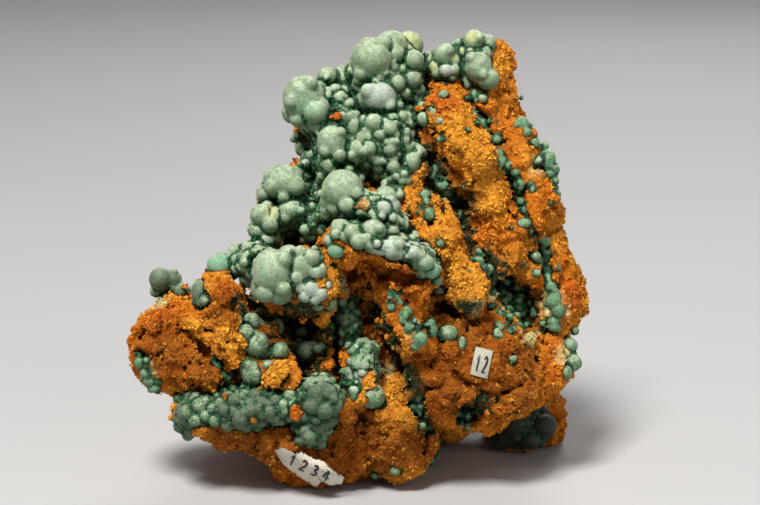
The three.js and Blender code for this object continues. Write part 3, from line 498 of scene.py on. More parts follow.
@dataclass(frozen=True)
class Lump:
    """An ellipsoid: its centre, half-widths across, back and up, and the directions of these."""

    centre: np.ndarray
    half: np.ndarray
    axes: np.ndarray

    @classmethod
    def seen(
        cls, across: float, down: float, depth: float, wide: float, tall: float, deep: float, lean: float
    ) -> "Lump":
        """Makes a lump from its place and half-widths on the front sheet.

        Args:
            across: mm from the sheet's left edge to its centre.
            down: mm from the top edge.
            depth: mm behind the sheet.
            wide: half-width across.
            tall: half-width up.
            deep: half-width back.
            lean: degrees that it leans, anticlockwise as seen.

        Returns:
            The lump.
        """
        turn = math.radians(lean)
        right, back, top = SHEET.axes
        leaned = np.array([
            right * math.cos(turn) + top * math.sin(turn),
            back,
            top * math.cos(turn) - right * math.sin(turn),
        ])
        size = 1 + depth / SHEET.distance
        return cls(SHEET.placed(across, down, depth), np.array([wide, deep, tall]) * size, leaned)

    def outside(self, points: np.ndarray) -> np.ndarray:
        """Roughly how many mm each point is outside the lump.

        Args:
            points: points, with their coordinates last.

        Returns:
            The distances, less than nothing inside.
        """
        unit = ((points - self.centre) @ self.axes.T) / self.half
        squares = (unit**2).sum(-1)
        reach = np.sqrt(squares)
        slope = np.sqrt(((unit / self.half) ** 2).sum(-1))
        return reach * (reach - 1) / np.maximum(slope, 1e-6)


class Ripple:
    """Smooth lattice noise, about -1 to 1, that repeats only after many of its own waves."""

    SIDE = 32  # lattice points before it repeats
    OFFSET = 100.37  # keeps every place on the lattice's positive side
    GAIN = 1.6

    def __init__(self, wave: float, seed: int) -> None:
        """Draws the lattice.

        Args:
            wave: mm from one lattice point to the next.
            seed: what the lattice is drawn from.
        """
        self.wave = wave
        slopes = np.random.default_rng(seed).normal(size=(self.SIDE,) * 3 + (3,))
        self.slopes = (slopes / np.linalg.norm(slopes, axis=-1, keepdims=True)).astype(np.float32)

    def at(self, points: np.ndarray) -> np.ndarray:
        """The noise at each point.

        Args:
            points: points, with their coordinates last.

        Returns:
            One value a point.
        """
        place = points / self.wave + self.OFFSET
        low = np.floor(place).astype(int)
        part = (place - low).astype(np.float32)
        eased = part**3 * (part * (part * 6 - 15) + 10)
        total = np.zeros(points.shape[:-1], np.float32)
        for corner in np.ndindex(2, 2, 2):
            there = (low + corner) % self.SIDE
            slope = self.slopes[there[..., 0], there[..., 1], there[..., 2]]
            total += np.where(corner, eased, 1 - eased).prod(-1) * (slope * (part - corner)).sum(-1)
        return total * self.GAIN


class Volume:
    """A box of evenly spaced samples of how many mm each place is outside a body."""

    def __init__(self, lowest: tuple, highest: tuple, cell: float) -> None:
        """Sets out the samples, all far outside.

        Args:
            lowest: the box's lowest corner, in mm.
            highest: its highest corner.
            cell: mm from one sample to the next.
        """
        self.lowest = np.array(lowest, float)
        self.cell = cell
        self.shape = tuple(np.ceil((np.array(highest) - self.lowest) / cell).astype(int) + 1)
        self.values = np.full(self.shape, FAR, np.float32)

    def patch(self, centre: np.ndarray, reach: float) -> tuple[tuple, np.ndarray]:
        """The samples near a place.

        Args:
            centre: the place.
            reach: mm to each side of it.

        Returns:
            The slices that pick the samples, and their points.
        """
        low = np.maximum(np.floor((centre - reach - self.lowest) / self.cell).astype(int), 0)
        high = np.minimum(np.ceil((centre + reach - self.lowest) / self.cell).astype(int) + 1, self.shape)
        high = np.maximum(high, low)
        where = tuple(slice(a, b) for a, b in zip(low, high))
        lines = [np.arange(a, b) * self.cell + start for a, b, start in zip(low, high, self.lowest)]
        return where, np.stack(np.meshgrid(*lines, indexing="ij"), -1)

    def fill(self, lumps: list[Lump], softness: float) -> None:
        """Runs lumps together into the body.

        Args:
            lumps: what to add.
            softness: mm over which neighbours blend.
        """
        total = np.exp(-self.values / softness, dtype=np.float64)
        for lump in lumps:
            where, points = self.patch(lump.centre, lump.half.max() + 5 * softness)
            total[where] += np.exp(-lump.outside(points) / softness)
        self.values = np.minimum(-softness * np.log(total + 1e-30), FAR).astype(np.float32)

    def hollow(self, lumps: list[Lump]) -> None:
        """Takes lumps out of the body.

        Args:
            lumps: what to take out.
        """
        for lump in lumps:
            where, points = self.patch(lump.centre, lump.half.max() + 1)
            self.values[where] = np.maximum(self.values[where], -lump.outside(points))

    def rumple(self, swell: Callable[[np.ndarray], np.ndarray], band: float = 3.0) -> None:
        """Moves the skin out and in.

        Args:
            swell: gives how far out the skin goes at each of some points.
            band: mm from the skin within which samples change.
        """
        near = np.argwhere(np.abs(self.values) < band)
        self.values[tuple(near.T)] -= swell(near * self.cell + self.lowest).astype(np.float32)

    def at(self, points: np.ndarray) -> np.ndarray:
        """How far outside the body each point is.

        Args:
            points: points, with their coordinates last.

        Returns:
            The distances in mm.
        """
        place = np.clip((points - self.lowest) / self.cell, 0, np.array(self.shape) - 1.001)
        low = place.astype(int)
        x, y, z = np.moveaxis((place - low).astype(np.float32), -1, 0)
        row, layer = self.shape[2], self.shape[1] * self.shape[2]
        first = low[..., 0] * layer + low[..., 1] * row + low[..., 2]
        values = self.values.ravel()
        total = np.zeros(points.shape[:-1], np.float32)
        shares = {0: (1 - x) * (1 - y), row: (1 - x) * y, layer: x * (1 - y), layer + row: x * y}
        for step, share in shares.items():
            near = first + step
            total += share * (values[near] * (1 - z) + values[near + 1] * z)
        return total

    def slope(self, points: np.ndarray) -> np.ndarray:
        """How fast the distance grows along each axis, measured over a cell to each side.

        Args:
            points: points, with their coordinates last.

        Returns:
            Three values a point: about 1 long on a smooth face, and shorter in a crease.
        """
        steps = np.eye(3) * self.cell
        rises = [self.at(points + step) - self.at(points - step) for step in steps]
        return np.stack(rises, -1) / (2 * self.cell)

    def facing(self, points: np.ndarray) -> np.ndarray:
        """The direction straight out of the body at each point."""
        slope = self.slope(points)
        return slope / np.maximum(np.linalg.norm(slope, axis=-1, keepdims=True), 1e-6)

    def net(self) -> tuple[np.ndarray, np.ndarray]:
        """The skin, as a net with a knot in each cell that it passes through.

        Returns:
            The knots and the four-sided faces between them.
        """
        inside = self.values < 0
        cells = tuple(n - 1 for n in self.shape)
        count = np.zeros(cells, np.int8)
        for corner in np.ndindex(2, 2, 2):
            count += inside[tuple(slice(c, c + n) for c, n in zip(corner, cells))]
        crossed = (count > 0) & (count < 8)
        where = np.argwhere(crossed)
        number = np.full(cells, -1)
        number[crossed] = np.arange(len(where))
        return self.knots(where), self.faces(inside, number)

    def knots(self, where: np.ndarray) -> np.ndarray:
        """The middle of the crossings in each of some cells.

        Args:
            where: the cells' indices.

        Returns:
            One point a cell.
        """
        total = np.zeros((len(where), 3))
        crossings = np.zeros((len(where), 1))
        for corner in np.ndindex(2, 2, 2):
            for axis in range(3):
                if corner[axis]:
                    continue
                step = np.eye(3, dtype=int)[axis]
                near = self.values[tuple((where + corner).T)]
                far = self.values[tuple((where + corner + step).T)]
                hit = ((near < 0) != (far < 0))[:, None]
                share = (near / np.where(hit[:, 0], near - far, 1))[:, None]
                total += hit * (corner + share * step)
                crossings += hit
        return self.lowest + self.cell * (where + total / crossings)

    def faces(self, inside: np.ndarray, number: np.ndarray) -> np.ndarray:
        """The faces across each grid edge that the skin crosses.

        Args:
            inside: which samples are inside.
            number: the number of each cell's knot.

        Returns:
            Four knots a face, turned to face out.
        """
        found = []
        for axis in range(3):
            edge, u, v = (np.eye(3, dtype=int)[(axis + n) % 3] for n in range(3))
            low = tuple(slice(0, -1) if n else slice(None) for n in edge)
            high = tuple(slice(1, None) if n else slice(None) for n in edge)
            starts = np.argwhere(inside[low] != inside[high])
            starts = starts[((starts - u - v >= 0).all(1)) & ((starts < number.shape).all(1))]
            ring = [number[tuple((starts - back).T)] for back in (0 * u, u, u + v, v)]
            quads = np.stack(ring, 1)
            outward = inside[tuple(starts.T)]
            quads[~outward] = quads[~outward][:, ::-1]
            found.append(quads)
        return np.concatenate(found)


class Skin:
    """The specimen's outside: the rock with its hollows, the malachite on it, and what lies open or hidden.

    The sizes are in mm. SOFTNESS is how far neighbouring lumps of a kind blend, and WAVES holds the length
    and height of the rock's long waves. A ball stands proud by a share of its radius, less on a large one.
    """

    ROCK_BOX = ((-64, -50, -6), (62, 49, 118))
    CRUST_BOX = ((-62, -50, -3), (56, 16, 118))
    SOFTNESS = {"rock": 1.3, "beds": 0.8, "planks": 0.9, "bare": 0.5, "balls": 0.06, "stacked": 0.05}
    WAVES = ((27, 1.6), (13, 1.1))
    BED_SINK = 0.4
    BARE_PROUD = 0.6
    LARGE_BALL = 3.3
    PROUD_SMALL, PROUD_LARGE = 0.3, 0.12
    STACKED_SINK = 0.22
    LOBED_BALL = 1.9

    def __init__(self, rock_cell: float = 0.97, crust_cell: float = 0.475) -> None:
        """Sets out the two volumes.

        Args:
            rock_cell: mm between the rock's samples.
            crust_cell: mm between the malachite's.
        """
        self.rock = Volume(*self.ROCK_BOX, rock_cell)
        self.crust = Volume(*self.CRUST_BOX, crust_cell)
        self.lumps: dict[str, list[Lump]] = {}

    def waves(self, points: np.ndarray) -> np.ndarray:
        """The rock's long waves, which the solid has too.

        Args:
            points: points, with their coordinates last.

        Returns:
            How far out the rock's skin stands at each, in mm.
        """
        x, y, z = np.moveaxis(points, -1, 0)
        height = np.zeros(points.shape[:-1])
        for length, swell in self.WAVES:
            k = 2 * math.pi / length
            height += swell / 3 * (
                np.sin(k * (x + 0.4 * y) + 1.7 * np.sin(0.6 * k * z))
                + np.sin(k * (y - 0.5 * z) + 1.7 * np.sin(0.7 * k * x))
                + np.sin(k * (z + 0.3 * x) + 1.7 * np.sin(0.5 * k * y))
            )
        return height

    def grow(self) -> None:
        """Fills both volumes, cuts the hollows and gullies, sets the balls and roughens the rock."""
        for name, beds in BEDS.items():
            self.lumps[name] = [Lump.seen(*entry) for entry in beds]
        soft = self.SOFTNESS
        self.rock.fill([Lump.seen(*entry) for entry in ROCK.values()], soft["rock"])
        self.rock.rumple(self.waves, 6)
        self.crust.fill([bed for beds in self.lumps.values() for bed in beds], soft["beds"])
        hollows = [
            Lump.seen(a, d, float(self.depth(a, d)), wide, tall, deep, lean)
            for a, d, wide, tall, deep, lean in HOLLOWS.values()
        ]
        self.rock.hollow(hollows)
        self.crust.hollow(hollows)
        self.crust.values += self.BED_SINK
        for width, rise, route in PLANKS.values():
            self.rock.fill(self.strung(route, width, width, width - rise), soft["planks"])
        bare = [self.ball(a, d, radius) for a, d, radius in WINDOWS]
        self.crust.hollow(bare)
        proud = [Lump(lump.centre - self.BARE_PROUD * SHEET.axes[1], lump.half, lump.axes) for lump in bare]
        self.rock.fill(proud, soft["bare"])
        balls = self.balls()
        gullies = [self.strung(route, width, deep, 0) for width, deep, route in GULLIES.values()]
        gaps = [self.strung(route, width, deep, 0) for width, deep, route in GAPS.values()]
        for carved in gullies + gaps:
            self.rock.hollow(carved)
            self.crust.hollow(carved)
        self.crust.fill(balls, soft["balls"])
        for name, entries in STACKED.items():
            stacked = [self.ball(*entry, on_ball=True) for entry in entries]
            self.lumps[name] = self.lumps[name] + stacked
            self.crust.fill(stacked, soft["stacked"])
        self.roughen()

    def strung(self, route: list[tuple[float, float]], width: float, deep: float, sunk: float) -> list[Lump]:
        """Lumps strung along a route on the skin, each a little different.

        Args:
            route: places on the front sheet.
            width: half-width of the lumps, in mm.
            deep: half-width back.
            sunk: how deep their middles lie under the skin.

        Returns:
            The lumps.
        """
        rng = np.random.default_rng(SEED + int(route[0][0] * 10))
        corners = np.array(route, float)
        along = np.concatenate([[0], np.cumsum(np.linalg.norm(np.diff(corners, axis=0), axis=1))])
        steps = np.arange(0, along[-1], max(0.8, width * 0.6))
        across, down = (np.interp(steps, along, corners[:, n]) for n in range(2))
        across, down = (line + rng.normal(size=len(steps)) * 0.3 for line in (across, down))
        sizes = rng.uniform(0.75, 1.25, (len(steps), 2))
        depths = self.depth(across, down) + sunk
        return [
            Lump.seen(a, d, depth, width * s, width * t, deep * s, 0)
            for a, d, depth, (s, t) in zip(across, down, depths, sizes)
        ]

    def balls(self) -> list[Lump]:
        """Sets the balls that are listed, the larger ones proud of the skin, and beads along the clefts.

        Returns:
            All of them, which are also added to the lumps of their crust.
        """
        rng = np.random.default_rng(SEED + 40)
        found = {name: [self.ball(*entry) for entry in entries] for name, entries in BALLS.items()}
        beads = [
            self.ball(across, down, 0.8 * radius, rng.uniform(0.6, 1.1), rng.uniform(-60, 60))
            for across, down, radius in TEAL_SPOTS
        ]
        for width, route in TEAL_TRAILS.values():
            corners = np.array(route, float)
            run = np.linalg.norm(np.diff(corners, axis=0), axis=1).sum()
            for share in np.arange(0, len(route) - 1, 0.4 * (len(route) - 1) / run):
                aside = rng.normal(size=2) * width * 0.75
                place = [np.interp(share, range(len(route)), corners[:, n]) + aside[n] for n in range(2)]
                radius = 0.32 + 0.62 * rng.random() ** 1.8
                beads.append(self.ball(*place, radius, rng.uniform(0.6, 1.2), rng.uniform(-60, 60)))
        found["beads"] = beads
        for name, lumps in found.items():
            lobed = [lobe for ball in lumps for lobe in self.lobes(ball, rng)]
            found[name] = lumps + lobed
            self.lumps[name] = self.lumps.get(name, []) + found[name]
        return [ball for lumps in found.values() for ball in lumps]

    def lobes(self, ball: Lump, rng: np.random.Generator) -> list[Lump]:
        """Low swellings on a larger ball, which grew from several.

        Args:
            ball: the ball.
            rng: what they are drawn with.

        Returns:
            The swellings, none on a small ball.
        """
        size = float(ball.half.min())
        if size < self.LOBED_BALL:
            return []
        made = []
        for _ in range(3 + int(size * 1.2)):
            way = rng.normal(size=3) + (0, -0.7, 0.3)
            share = rng.uniform(0.34, 0.56)
            reach = (1 + rng.uniform(0.01, 0.09) - share) * ball.half
            middle = ball.centre + way / np.linalg.norm(way) * reach
            made.append(Lump(middle, np.full(3, size * share), np.eye(3)))
        return made

    def crags(self, points: np.ndarray) -> np.ndarray:
        """The rock's crags, cracks and pits, from some 8 mm down to what the grid can hold.

        Args:
            points: points, with their coordinates last.

        Returns:
            How far out the rock's skin stands at each, in mm.
        """
        crag, crag_height = Ripple(8.5, SEED), 1.3
        crack, crack_depth, sharpness = Ripple(5.2, SEED + 1), 1.9, 7
        pit, pit_height, pit_rim = Ripple(2.8, SEED + 2), 1.6, 0.3
        lift = 0.5
        cracks = crack_depth * np.exp(-sharpness * np.abs(crack.at(points)))
        pits = pit_height * np.minimum(pit.at(points), pit_rim)
        return crag_height * crag.at(points) - cracks + pits + lift

    def roughen(self) -> None:
        """Gives the rock its crags, and cuts it off flat where it stands."""
        self.rock.rumple(self.crags)
        floor = np.arange(self.rock.shape[2]) * self.rock.cell + self.rock.lowest[2]
        self.rock.values = np.maximum(self.rock.values, -floor.astype(np.float32))

    def ball(
        self,
        across: float,
        down: float,
        radius: float,
        tallness: float = 1,
        lean: float = 0,
        on_ball: bool = False,
    ) -> Lump:
        """A ball of malachite on the skin where the viewer sees it: a small one sunk to its middle.

        Args:
            across: mm from the sheet's left edge.
            down: mm from the top edge.
            radius: half-width across and back.
            tallness: its half-width up, as a share of the radius.
            lean: degrees that it leans, anticlockwise as seen.
            on_ball: whether it sits on a larger ball.

        Returns:
            The ball.
        """
        proud = radius * (self.PROUD_SMALL if radius < self.LARGE_BALL else self.PROUD_LARGE)
        depth = float(self.depth(across, down))
        depth += self.STACKED_SINK * radius if on_ball else self.BED_SINK - proud
        return Lump.seen(across, down, depth, radius, radius * tallness, radius, lean)

    def outside(self, points: np.ndarray) -> np.ndarray:
        """How far outside both rock and malachite each point is, in mm."""
        return np.minimum(self.rock.at(points), self.malachite(points))

    def malachite(self, points: np.ndarray) -> np.ndarray:
        """How far outside the malachite each point is, far where its volume doesn't reach.

        Args:
            points: points, with their coordinates last.

        Returns:
            The distances in mm.
        """
        box = self.crust.lowest, self.crust.lowest + self.crust.cell * (np.array(self.crust.shape) - 1)
        within = ((points > box[0]) & (points < box[1])).all(-1)
        return np.where(within, self.crust.at(points), FAR)

    def depth(self, across: np.ndarray, down: np.ndarray) -> np.ndarray:
        """How deep behind the sheet the line of sight meets the skin, or passes nearest to it.

        Args:
            across: mm from the sheet's left edge.
            down: mm from its top edge.

        Returns:
            The depths in mm.
        """
        steps = np.arange(-60, 80, 0.4)
        across, down = np.broadcast_arrays(np.asarray(across, float), np.asarray(down, float))
        points = SHEET.placed(across[..., None], down[..., None], steps)
        gap = self.outside(points)
        hit = (gap <= 0).any(-1)
        first = (gap <= 0).argmax(-1)
        return steps[np.where(hit, first, gap.argmin(-1))]

    def openness(self, points: np.ndarray, facing: np.ndarray, reach: tuple = (0.8, 1.6, 3.2)) -> np.ndarray:
        """How open the skin is at each point: about 1 on a dome and near 0 in a crevice.

        Args:
            points: points on the skin.
            facing: the directions out of it.
            reach: how many mm out it is measured.

        Returns:
            One value a point.
        """
        shares = [np.clip(self.outside(points + facing * far) / far, 0, 1) for far in reach]
        return np.mean(shares, axis=0)


def shape(
    name: str, points: np.ndarray, faces: np.ndarray, marks: dict[str, np.ndarray], finish: "Finish"
) -> bpy.types.Object:
    """Makes a piece from points in mm and dresses it.

    Args:
        name: the piece's name.
        points: one row a point.
        faces: the points' numbers, one row a face.
        marks: values for each point, by the name that the finish reads them under.
        finish: what the piece is covered with.

    Returns:
        The piece, linked to the scene.
    """
    mesh = bpy.data.meshes.new(name)
    mesh.from_pydata((points * MM).tolist(), [], faces.tolist())
    for mark, values in marks.items():
        layer = mesh.attributes.new(mark, "FLOAT", "POINT")
        layer.data.foreach_set("value", np.asarray(values, np.float32))
    mesh.materials.append(finish.material())
    mesh.validate()
    piece = bpy.data.objects.new(name, mesh)
    bpy.context.scene.collection.objects.link(piece)
    return piece


Value = bpy.types.NodeSocket | float | tuple


class Wiring:
    """A material's nodes, made and joined by short calls."""

    def __init__(self, name: str) -> None:
        """Starts a material with only its surface shader.

        Args:
            name: the material's name.
        """
        self.made = bpy.data.materials.new(name)
        self.made.use_nodes = True
        self.tree = self.made.node_tree
        self.shader = self.tree.nodes["Principled BSDF"]

    def put(self, kind: str, inputs: dict[str, Value], **settings: str) -> bpy.types.Node:
        """Adds a node.

        Args:
            kind: the node's type.
            inputs: what each input is joined to or set to.
            settings: the node's own properties.

        Returns:
            The node.
        """
        node = self.tree.nodes.new(kind)
        for key, value in settings.items():
            setattr(node, key, value)
        for key, value in inputs.items():
            self.feed(node.inputs[key], value)
        return node

    def feed(self, socket: bpy.types.NodeSocket, value: Value) -> None:
        """Joins a socket to another, or sets it to a value.

        Args:
            socket: the input.
            value: another node's output, a number or a colour.
        """
        if isinstance(value, bpy.types.NodeSocket):
            self.tree.links.new(value, socket)
        else:
            socket.default_value = value

    def mark(self, name: str) -> bpy.types.NodeSocket:
        """A mark of the mesh's points."""
        return self.put("ShaderNodeAttribute", {}, attribute_name=name).outputs["Fac"]

    def here(self) -> bpy.types.NodeSocket:
        """The place on the object, in metres."""
        return self.put("ShaderNodeTexCoord", {}).outputs["Object"]

    def cloud(self, size: float, detail: float = 2, roughness: float = 0.5) -> bpy.types.NodeSocket:
        """Soft noise whose patches are so many mm wide.

        Args:
            size: mm from patch to patch.
            detail: how many finer layers it has.
            roughness: how strong these are.

        Returns:
            A value from 0 to 1.
        """
        inputs = {"Vector": self.here(), "Scale": 1 / (size * MM), "Detail": detail, "Roughness": roughness}
        return self.put("ShaderNodeTexNoise", inputs).outputs["Fac"]

    def grit(self, size: float) -> bpy.types.NodeSocket:
        """The distance from the middles of scattered cells so many mm wide."""
        inputs = {"Vector": self.here(), "Scale": 1 / (size * MM)}
        return self.put("ShaderNodeTexVoronoi", inputs).outputs["Distance"]

    def ramp(
        self, value: bpy.types.NodeSocket, low: float, high: float, start: float = 0.0, end: float = 1.0
    ) -> bpy.types.NodeSocket:
        """Stretches a value from one range to another and holds it there.

        Args:
            value: what is stretched.
            low: where it starts from.
            high: where it ends.
            start: what low becomes.
            end: what high becomes.

        Returns:
            The stretched value.
        """
        inputs = {"Value": value, "From Min": low, "From Max": high, "To Min": start, "To Max": end}
        return self.put("ShaderNodeMapRange", inputs).outputs["Result"]

    def maths(self, operation: str, first: Value, second: Value) -> bpy.types.NodeSocket:
        """One sum of two values.

        Args:
            operation: the name of the sum.
            first: a number or a socket.
            second: a number or a socket.

        Returns:
            The result.
        """
        node = self.put("ShaderNodeMath", {}, operation=operation)
        self.feed(node.inputs[0], first)
        self.feed(node.inputs[1], second)
        return node.outputs[0]

    def blend(self, share: Value, first: Value, second: Value) -> bpy.types.NodeSocket:
        """Goes from one colour to another.

        Args:
            share: how much of the second there is.
            first: a colour or a socket.
            second: a colour or a socket.

        Returns:
            The mixed colour.
        """
        node = self.put("ShaderNodeMix", {}, data_type="RGBA")
        self.feed(node.inputs["Factor"], share)
        self.feed(node.inputs["A"], first)
        self.feed(node.inputs["B"], second)
        return node.outputs["Result"]

    def relief(self, height: bpy.types.NodeSocket, depth: float) -> None:
        """Gives the surface a fine relief.

        Args:
            height: from 0 to 1.
            depth: mm from lowest to highest.
        """
        bump = self.put("ShaderNodeBump", {"Height": height, "Distance": depth * MM, "Strength": 1.0})
        self.feed(self.shader.inputs["Normal"], bump.outputs["Normal"])


def paint(red: int, green: int, blue: int) -> tuple[float, float, float, float]:
    """A colour as Blender counts it, from 0 to 255 as a screen shows it."""
    shares = [value / 255 for value in (red, green, blue)]
    return tuple(((v + 0.055) / 1.055) ** 2.4 if v > 10 / 255 else v / 12.92 for v in shares) + (1,)


class Finish:
    """What a piece is covered with. Each kind wires its own nodes."""

    name: str

    def material(self) -> bpy.types.Material:
        """The finish as a material.

        Returns:
            The material, made once and then shared.
        """
        if self.name not in bpy.data.materials:
            self.wire(Wiring(self.name))
        return bpy.data.materials[self.name]

    def wire(self, w: Wiring) -> None:
        """Joins the nodes of this kind of finish."""
        raise NotImplementedError


@dataclass(frozen=True)
class MalachiteFinish(Finish):
    """Velvety malachite: chalky grey-green where it stands open and emerald deep in the crevices; the flanks
    and crevices also carry painted shade, and faces turned up a painted top light.
    """

    name: str = "malachite_velvet"
    sage: tuple = paint(92, 118, 84)
    chalk: tuple = paint(188, 200, 166)
    shaded_flank: tuple = paint(46, 76, 46)
    painted_shade: tuple = paint(44, 62, 38)
    emerald: tuple = paint(7, 40, 18)
    bright: tuple = paint(32, 122, 56)
    teal: tuple = paint(106, 160, 124)
    frost: tuple = paint(190, 197, 188)
    straw: tuple = paint(176, 178, 112)
    speck: tuple = paint(70, 88, 66)
    specked: float = 0.42
    greened: float = 0.0
    relief: float = 0.2

    def wire(self, w: Wiring) -> None:
        """Joins the nodes.

        Args:
            w: the material's nodes so far.
        """
        # Where the skin lies less open, the colour goes to the flank and crevice colours: partly the
        # malachite's own emerald, partly painted shade.
        openness = w.maths("ADD", w.mark("openness"), w.ramp(w.cloud(2.4, 4, 0.6), 0.3, 0.7, -0.07, 0.07))
        deep = w.blend(w.ramp(w.cloud(0.8, 3), 0.5, 0.7), self.emerald, self.bright)
        shaded_flank = w.blend(w.ramp(openness, 0.24, 0.5), deep, self.shaded_flank)
        # Faces turned up take more chalk: partly a chalky bloom, partly a painted top light.
        lit_bloom = w.maths("MULTIPLY", w.mark("top_lit_bloom"), w.ramp(w.cloud(1.5, 6, 0.75), 0.36, 0.62, 0.2, 1))
        chalky = w.blend(lit_bloom, self.sage, self.chalk)
        chalky = w.blend(w.mark("straw"), chalky, self.straw)
        chalky = w.blend(w.mark("teal"), chalky, self.teal)
        speckled = w.blend(w.ramp(w.cloud(0.5, 2), 0.5, 0.64, 0, self.specked), chalky, self.speck)
        speckled = w.blend(w.ramp(w.cloud(2, 5, 0.65), 0.5, 0.62, 0, self.greened), speckled, self.bright)
        frosted = w.maths("MULTIPLY", w.mark("frost"), w.ramp(w.cloud(0.7, 4, 0.7), 0.35, 0.6, 0.35, 1))
        speckled = w.blend(frosted, speckled, self.frost)
        # Painted shade: the patches that face down or lie low darken.
        speckled = w.blend(w.mark("painted_shade"), speckled, self.painted_shade)
        w.feed(w.shader.inputs["Base Color"], w.blend(w.ramp(openness, 0.44, 0.78), shaded_flank, speckled))
        w.shader.inputs["Roughness"].default_value = 0.62
        w.shader.inputs["Sheen Weight"].default_value = 0.12
        w.shader.inputs["Sheen Roughness"].default_value = 0.35
        fine = w.maths("MULTIPLY", w.cloud(0.4, 3, 0.6), 0.6)
        w.relief(w.maths("ADD", fine, w.maths("MULTIPLY", w.grit(0.55), 0.4)), self.relief)


# The foot's malachite is a darker, duller copy of the velvet that stands for painted shade, and that in the
# clefts and on the band is greener.
VELVETS = {
    "foot_malachite": MalachiteFinish(
        "malachite_shaded", sage=paint(46, 56, 36), chalk=paint(84, 94, 68), shaded_flank=paint(22, 32, 18),
        painted_shade=paint(20, 26, 13), teal=paint(52, 74, 54),
    ),
    "cleft_malachite": MalachiteFinish(
        "malachite_cleft", sage=paint(92, 118, 84), chalk=paint(176, 194, 156), shaded_flank=paint(28, 62, 36),
        teal=paint(88, 134, 94), greened=0.5, specked=0.8, relief=0.35,
    ),
    "band_malachite": MalachiteFinish(
        "malachite_drusy", sage=paint(96, 120, 88), chalk=paint(180, 196, 158), shaded_flank=paint(36, 66, 38),
        speck=paint(44, 70, 46), greened=0.45, specked=0.8, relief=0.4,
    ),
}


@dataclass(frozen=True)
class LimoniteFinish(Finish):
    """Crumbly limonite: orange with yellower and browner patches and green malachite stain, with painted shade
    in its crevices, along its gaps, in patches that face down and on its back.
    """

    name: str = "limonite_earth"
    orange: tuple = paint(228, 130, 26)
    amber: tuple = paint(250, 172, 56)
    yellow: tuple = paint(255, 192, 62)
    brown: tuple = paint(140, 68, 6)
    rust: tuple = paint(206, 94, 24)
    dark: tuple = paint(34, 19, 5)
    shaded: tuple = paint(104, 46, 3)
    stain_and_shade: tuple = paint(12, 36, 20)
    crystal: tuple = paint(62, 118, 72)
    cream: tuple = paint(196, 190, 132)

    def wire(self, w: Wiring) -> None:
        """Joins the nodes.

        Args:
            w: the material's nodes so far.
        """
        tint = w.mark("tint")
        earth = w.blend(w.ramp(w.cloud(11, 3), 0.4, 0.6), self.orange, self.amber)
        earth = w.blend(w.mark("yellow"), earth, self.yellow)
        earth = w.blend(w.mark("rust"), earth, self.rust)
        earth = w.blend(w.ramp(w.cloud(3.4, 4, 0.65), 0.5, 0.7, 0, 0.65), earth, self.brown)
        # Painted shade: faces turned to the back darken in broad patches to the shaded colour.
        rear = w.maths("MULTIPLY", w.mark("rear"), w.ramp(w.cloud(14, 5, 0.6), 0.46, 0.6))
        earth = w.blend(rear, earth, self.shaded)
        earth = w.blend(w.mark("shaded"), earth, self.shaded)
        earth = w.blend(w.ramp(w.cloud(0.7, 2), 0.42, 0.62, 0.35, 0), earth, self.brown)
        earth = w.blend(w.ramp(tint, 0.4, 0, 0, 0.6), earth, self.brown)
        earth = w.blend(w.ramp(tint, 0.6, 1, 0, 0.3), earth, self.yellow)
        earth = w.blend(w.mark("cream"), earth, self.cream)
        green = w.blend(w.ramp(w.maths("ADD", tint, w.cloud(0.9, 3)), 1.05, 1.5), self.stain_and_shade, self.crystal)
        earth = w.blend(w.mark("stain_and_shade"), earth, green)
        # Painted shade: the rock darkens to near black where it lies less open, in crevices and pits.
        lit = w.ramp(w.mark("openness"), 0.22, 0.6)
        w.feed(w.shader.inputs["Base Color"], w.blend(lit, self.dark, earth))
        w.shader.inputs["Roughness"].default_value = 0.95
        w.shader.inputs["Specular IOR Level"].default_value = 0.2
        soft = w.maths("MULTIPLY", w.cloud(0.6, 3, 0.7), 0.7)
        w.relief(w.maths("ADD", soft, w.maths("MULTIPLY", w.grit(0.8), 0.6)), 0.5)


@dataclass(frozen=True)
class DruseFinish(Finish):
    """Tiny glassy malachite needles, each with a tint of its own."""

    name: str = "emerald_needles"
    dull: tuple = paint(8, 46, 26)
    bright: tuple = paint(62, 152, 80)

    def wire(self, w: Wiring) -> None:
        """Joins the nodes.

        Args:
            w: the material's nodes so far.
        """
        speck = w.ramp(w.cloud(0.3, 2), 0.35, 0.65, -0.15, 0.15)
        tint = w.maths("ADD", w.mark("tint"), speck)
        w.feed(w.shader.inputs["Base Color"], w.blend(tint, self.dull, self.bright))
        w.shader.inputs["Roughness"].default_value = 0.4
        w.relief(w.cloud(0.2, 2), 0.04)


@dataclass(frozen=True)
class PaperFinish(Finish):
    """White paper or paint gone dusty and rubbed."""

    name: str = "worn_paper"
    white: tuple = paint(204, 196, 178)
    soiled: tuple = paint(142, 114, 84)

    def wire(self, w: Wiring) -> None:
        """Joins the nodes.

        Args:
            w: the material's nodes so far.
        """
        soil = w.maths("MAXIMUM", w.ramp(w.cloud(1.6, 5, 0.7), 0.52, 0.75, 0, 0.6), w.mark("edge"))
        w.feed(w.shader.inputs["Base Color"], w.blend(soil, self.white, self.soiled))
        w.shader.inputs["Roughness"].default_value = 0.8
        w.relief(w.cloud(0.4, 4, 0.7), 0.08)


@dataclass(frozen=True)
class InkFinish(Finish):
    """Brushed or penned ink, thinner in places."""

    name: str = "black_ink"
    dark: tuple = paint(16, 18, 28)
    thin: tuple = paint(58, 64, 88)

    def wire(self, w: Wiring) -> None:
        """Joins the nodes.

        Args:
            w: the material's nodes so far.
        """
        thinned = w.ramp(w.cloud(0.6, 3), 0.5, 0.8)
        w.feed(w.shader.inputs["Base Color"], w.blend(thinned, self.dark, self.thin))
        w.shader.inputs["Roughness"].default_value = 0.45


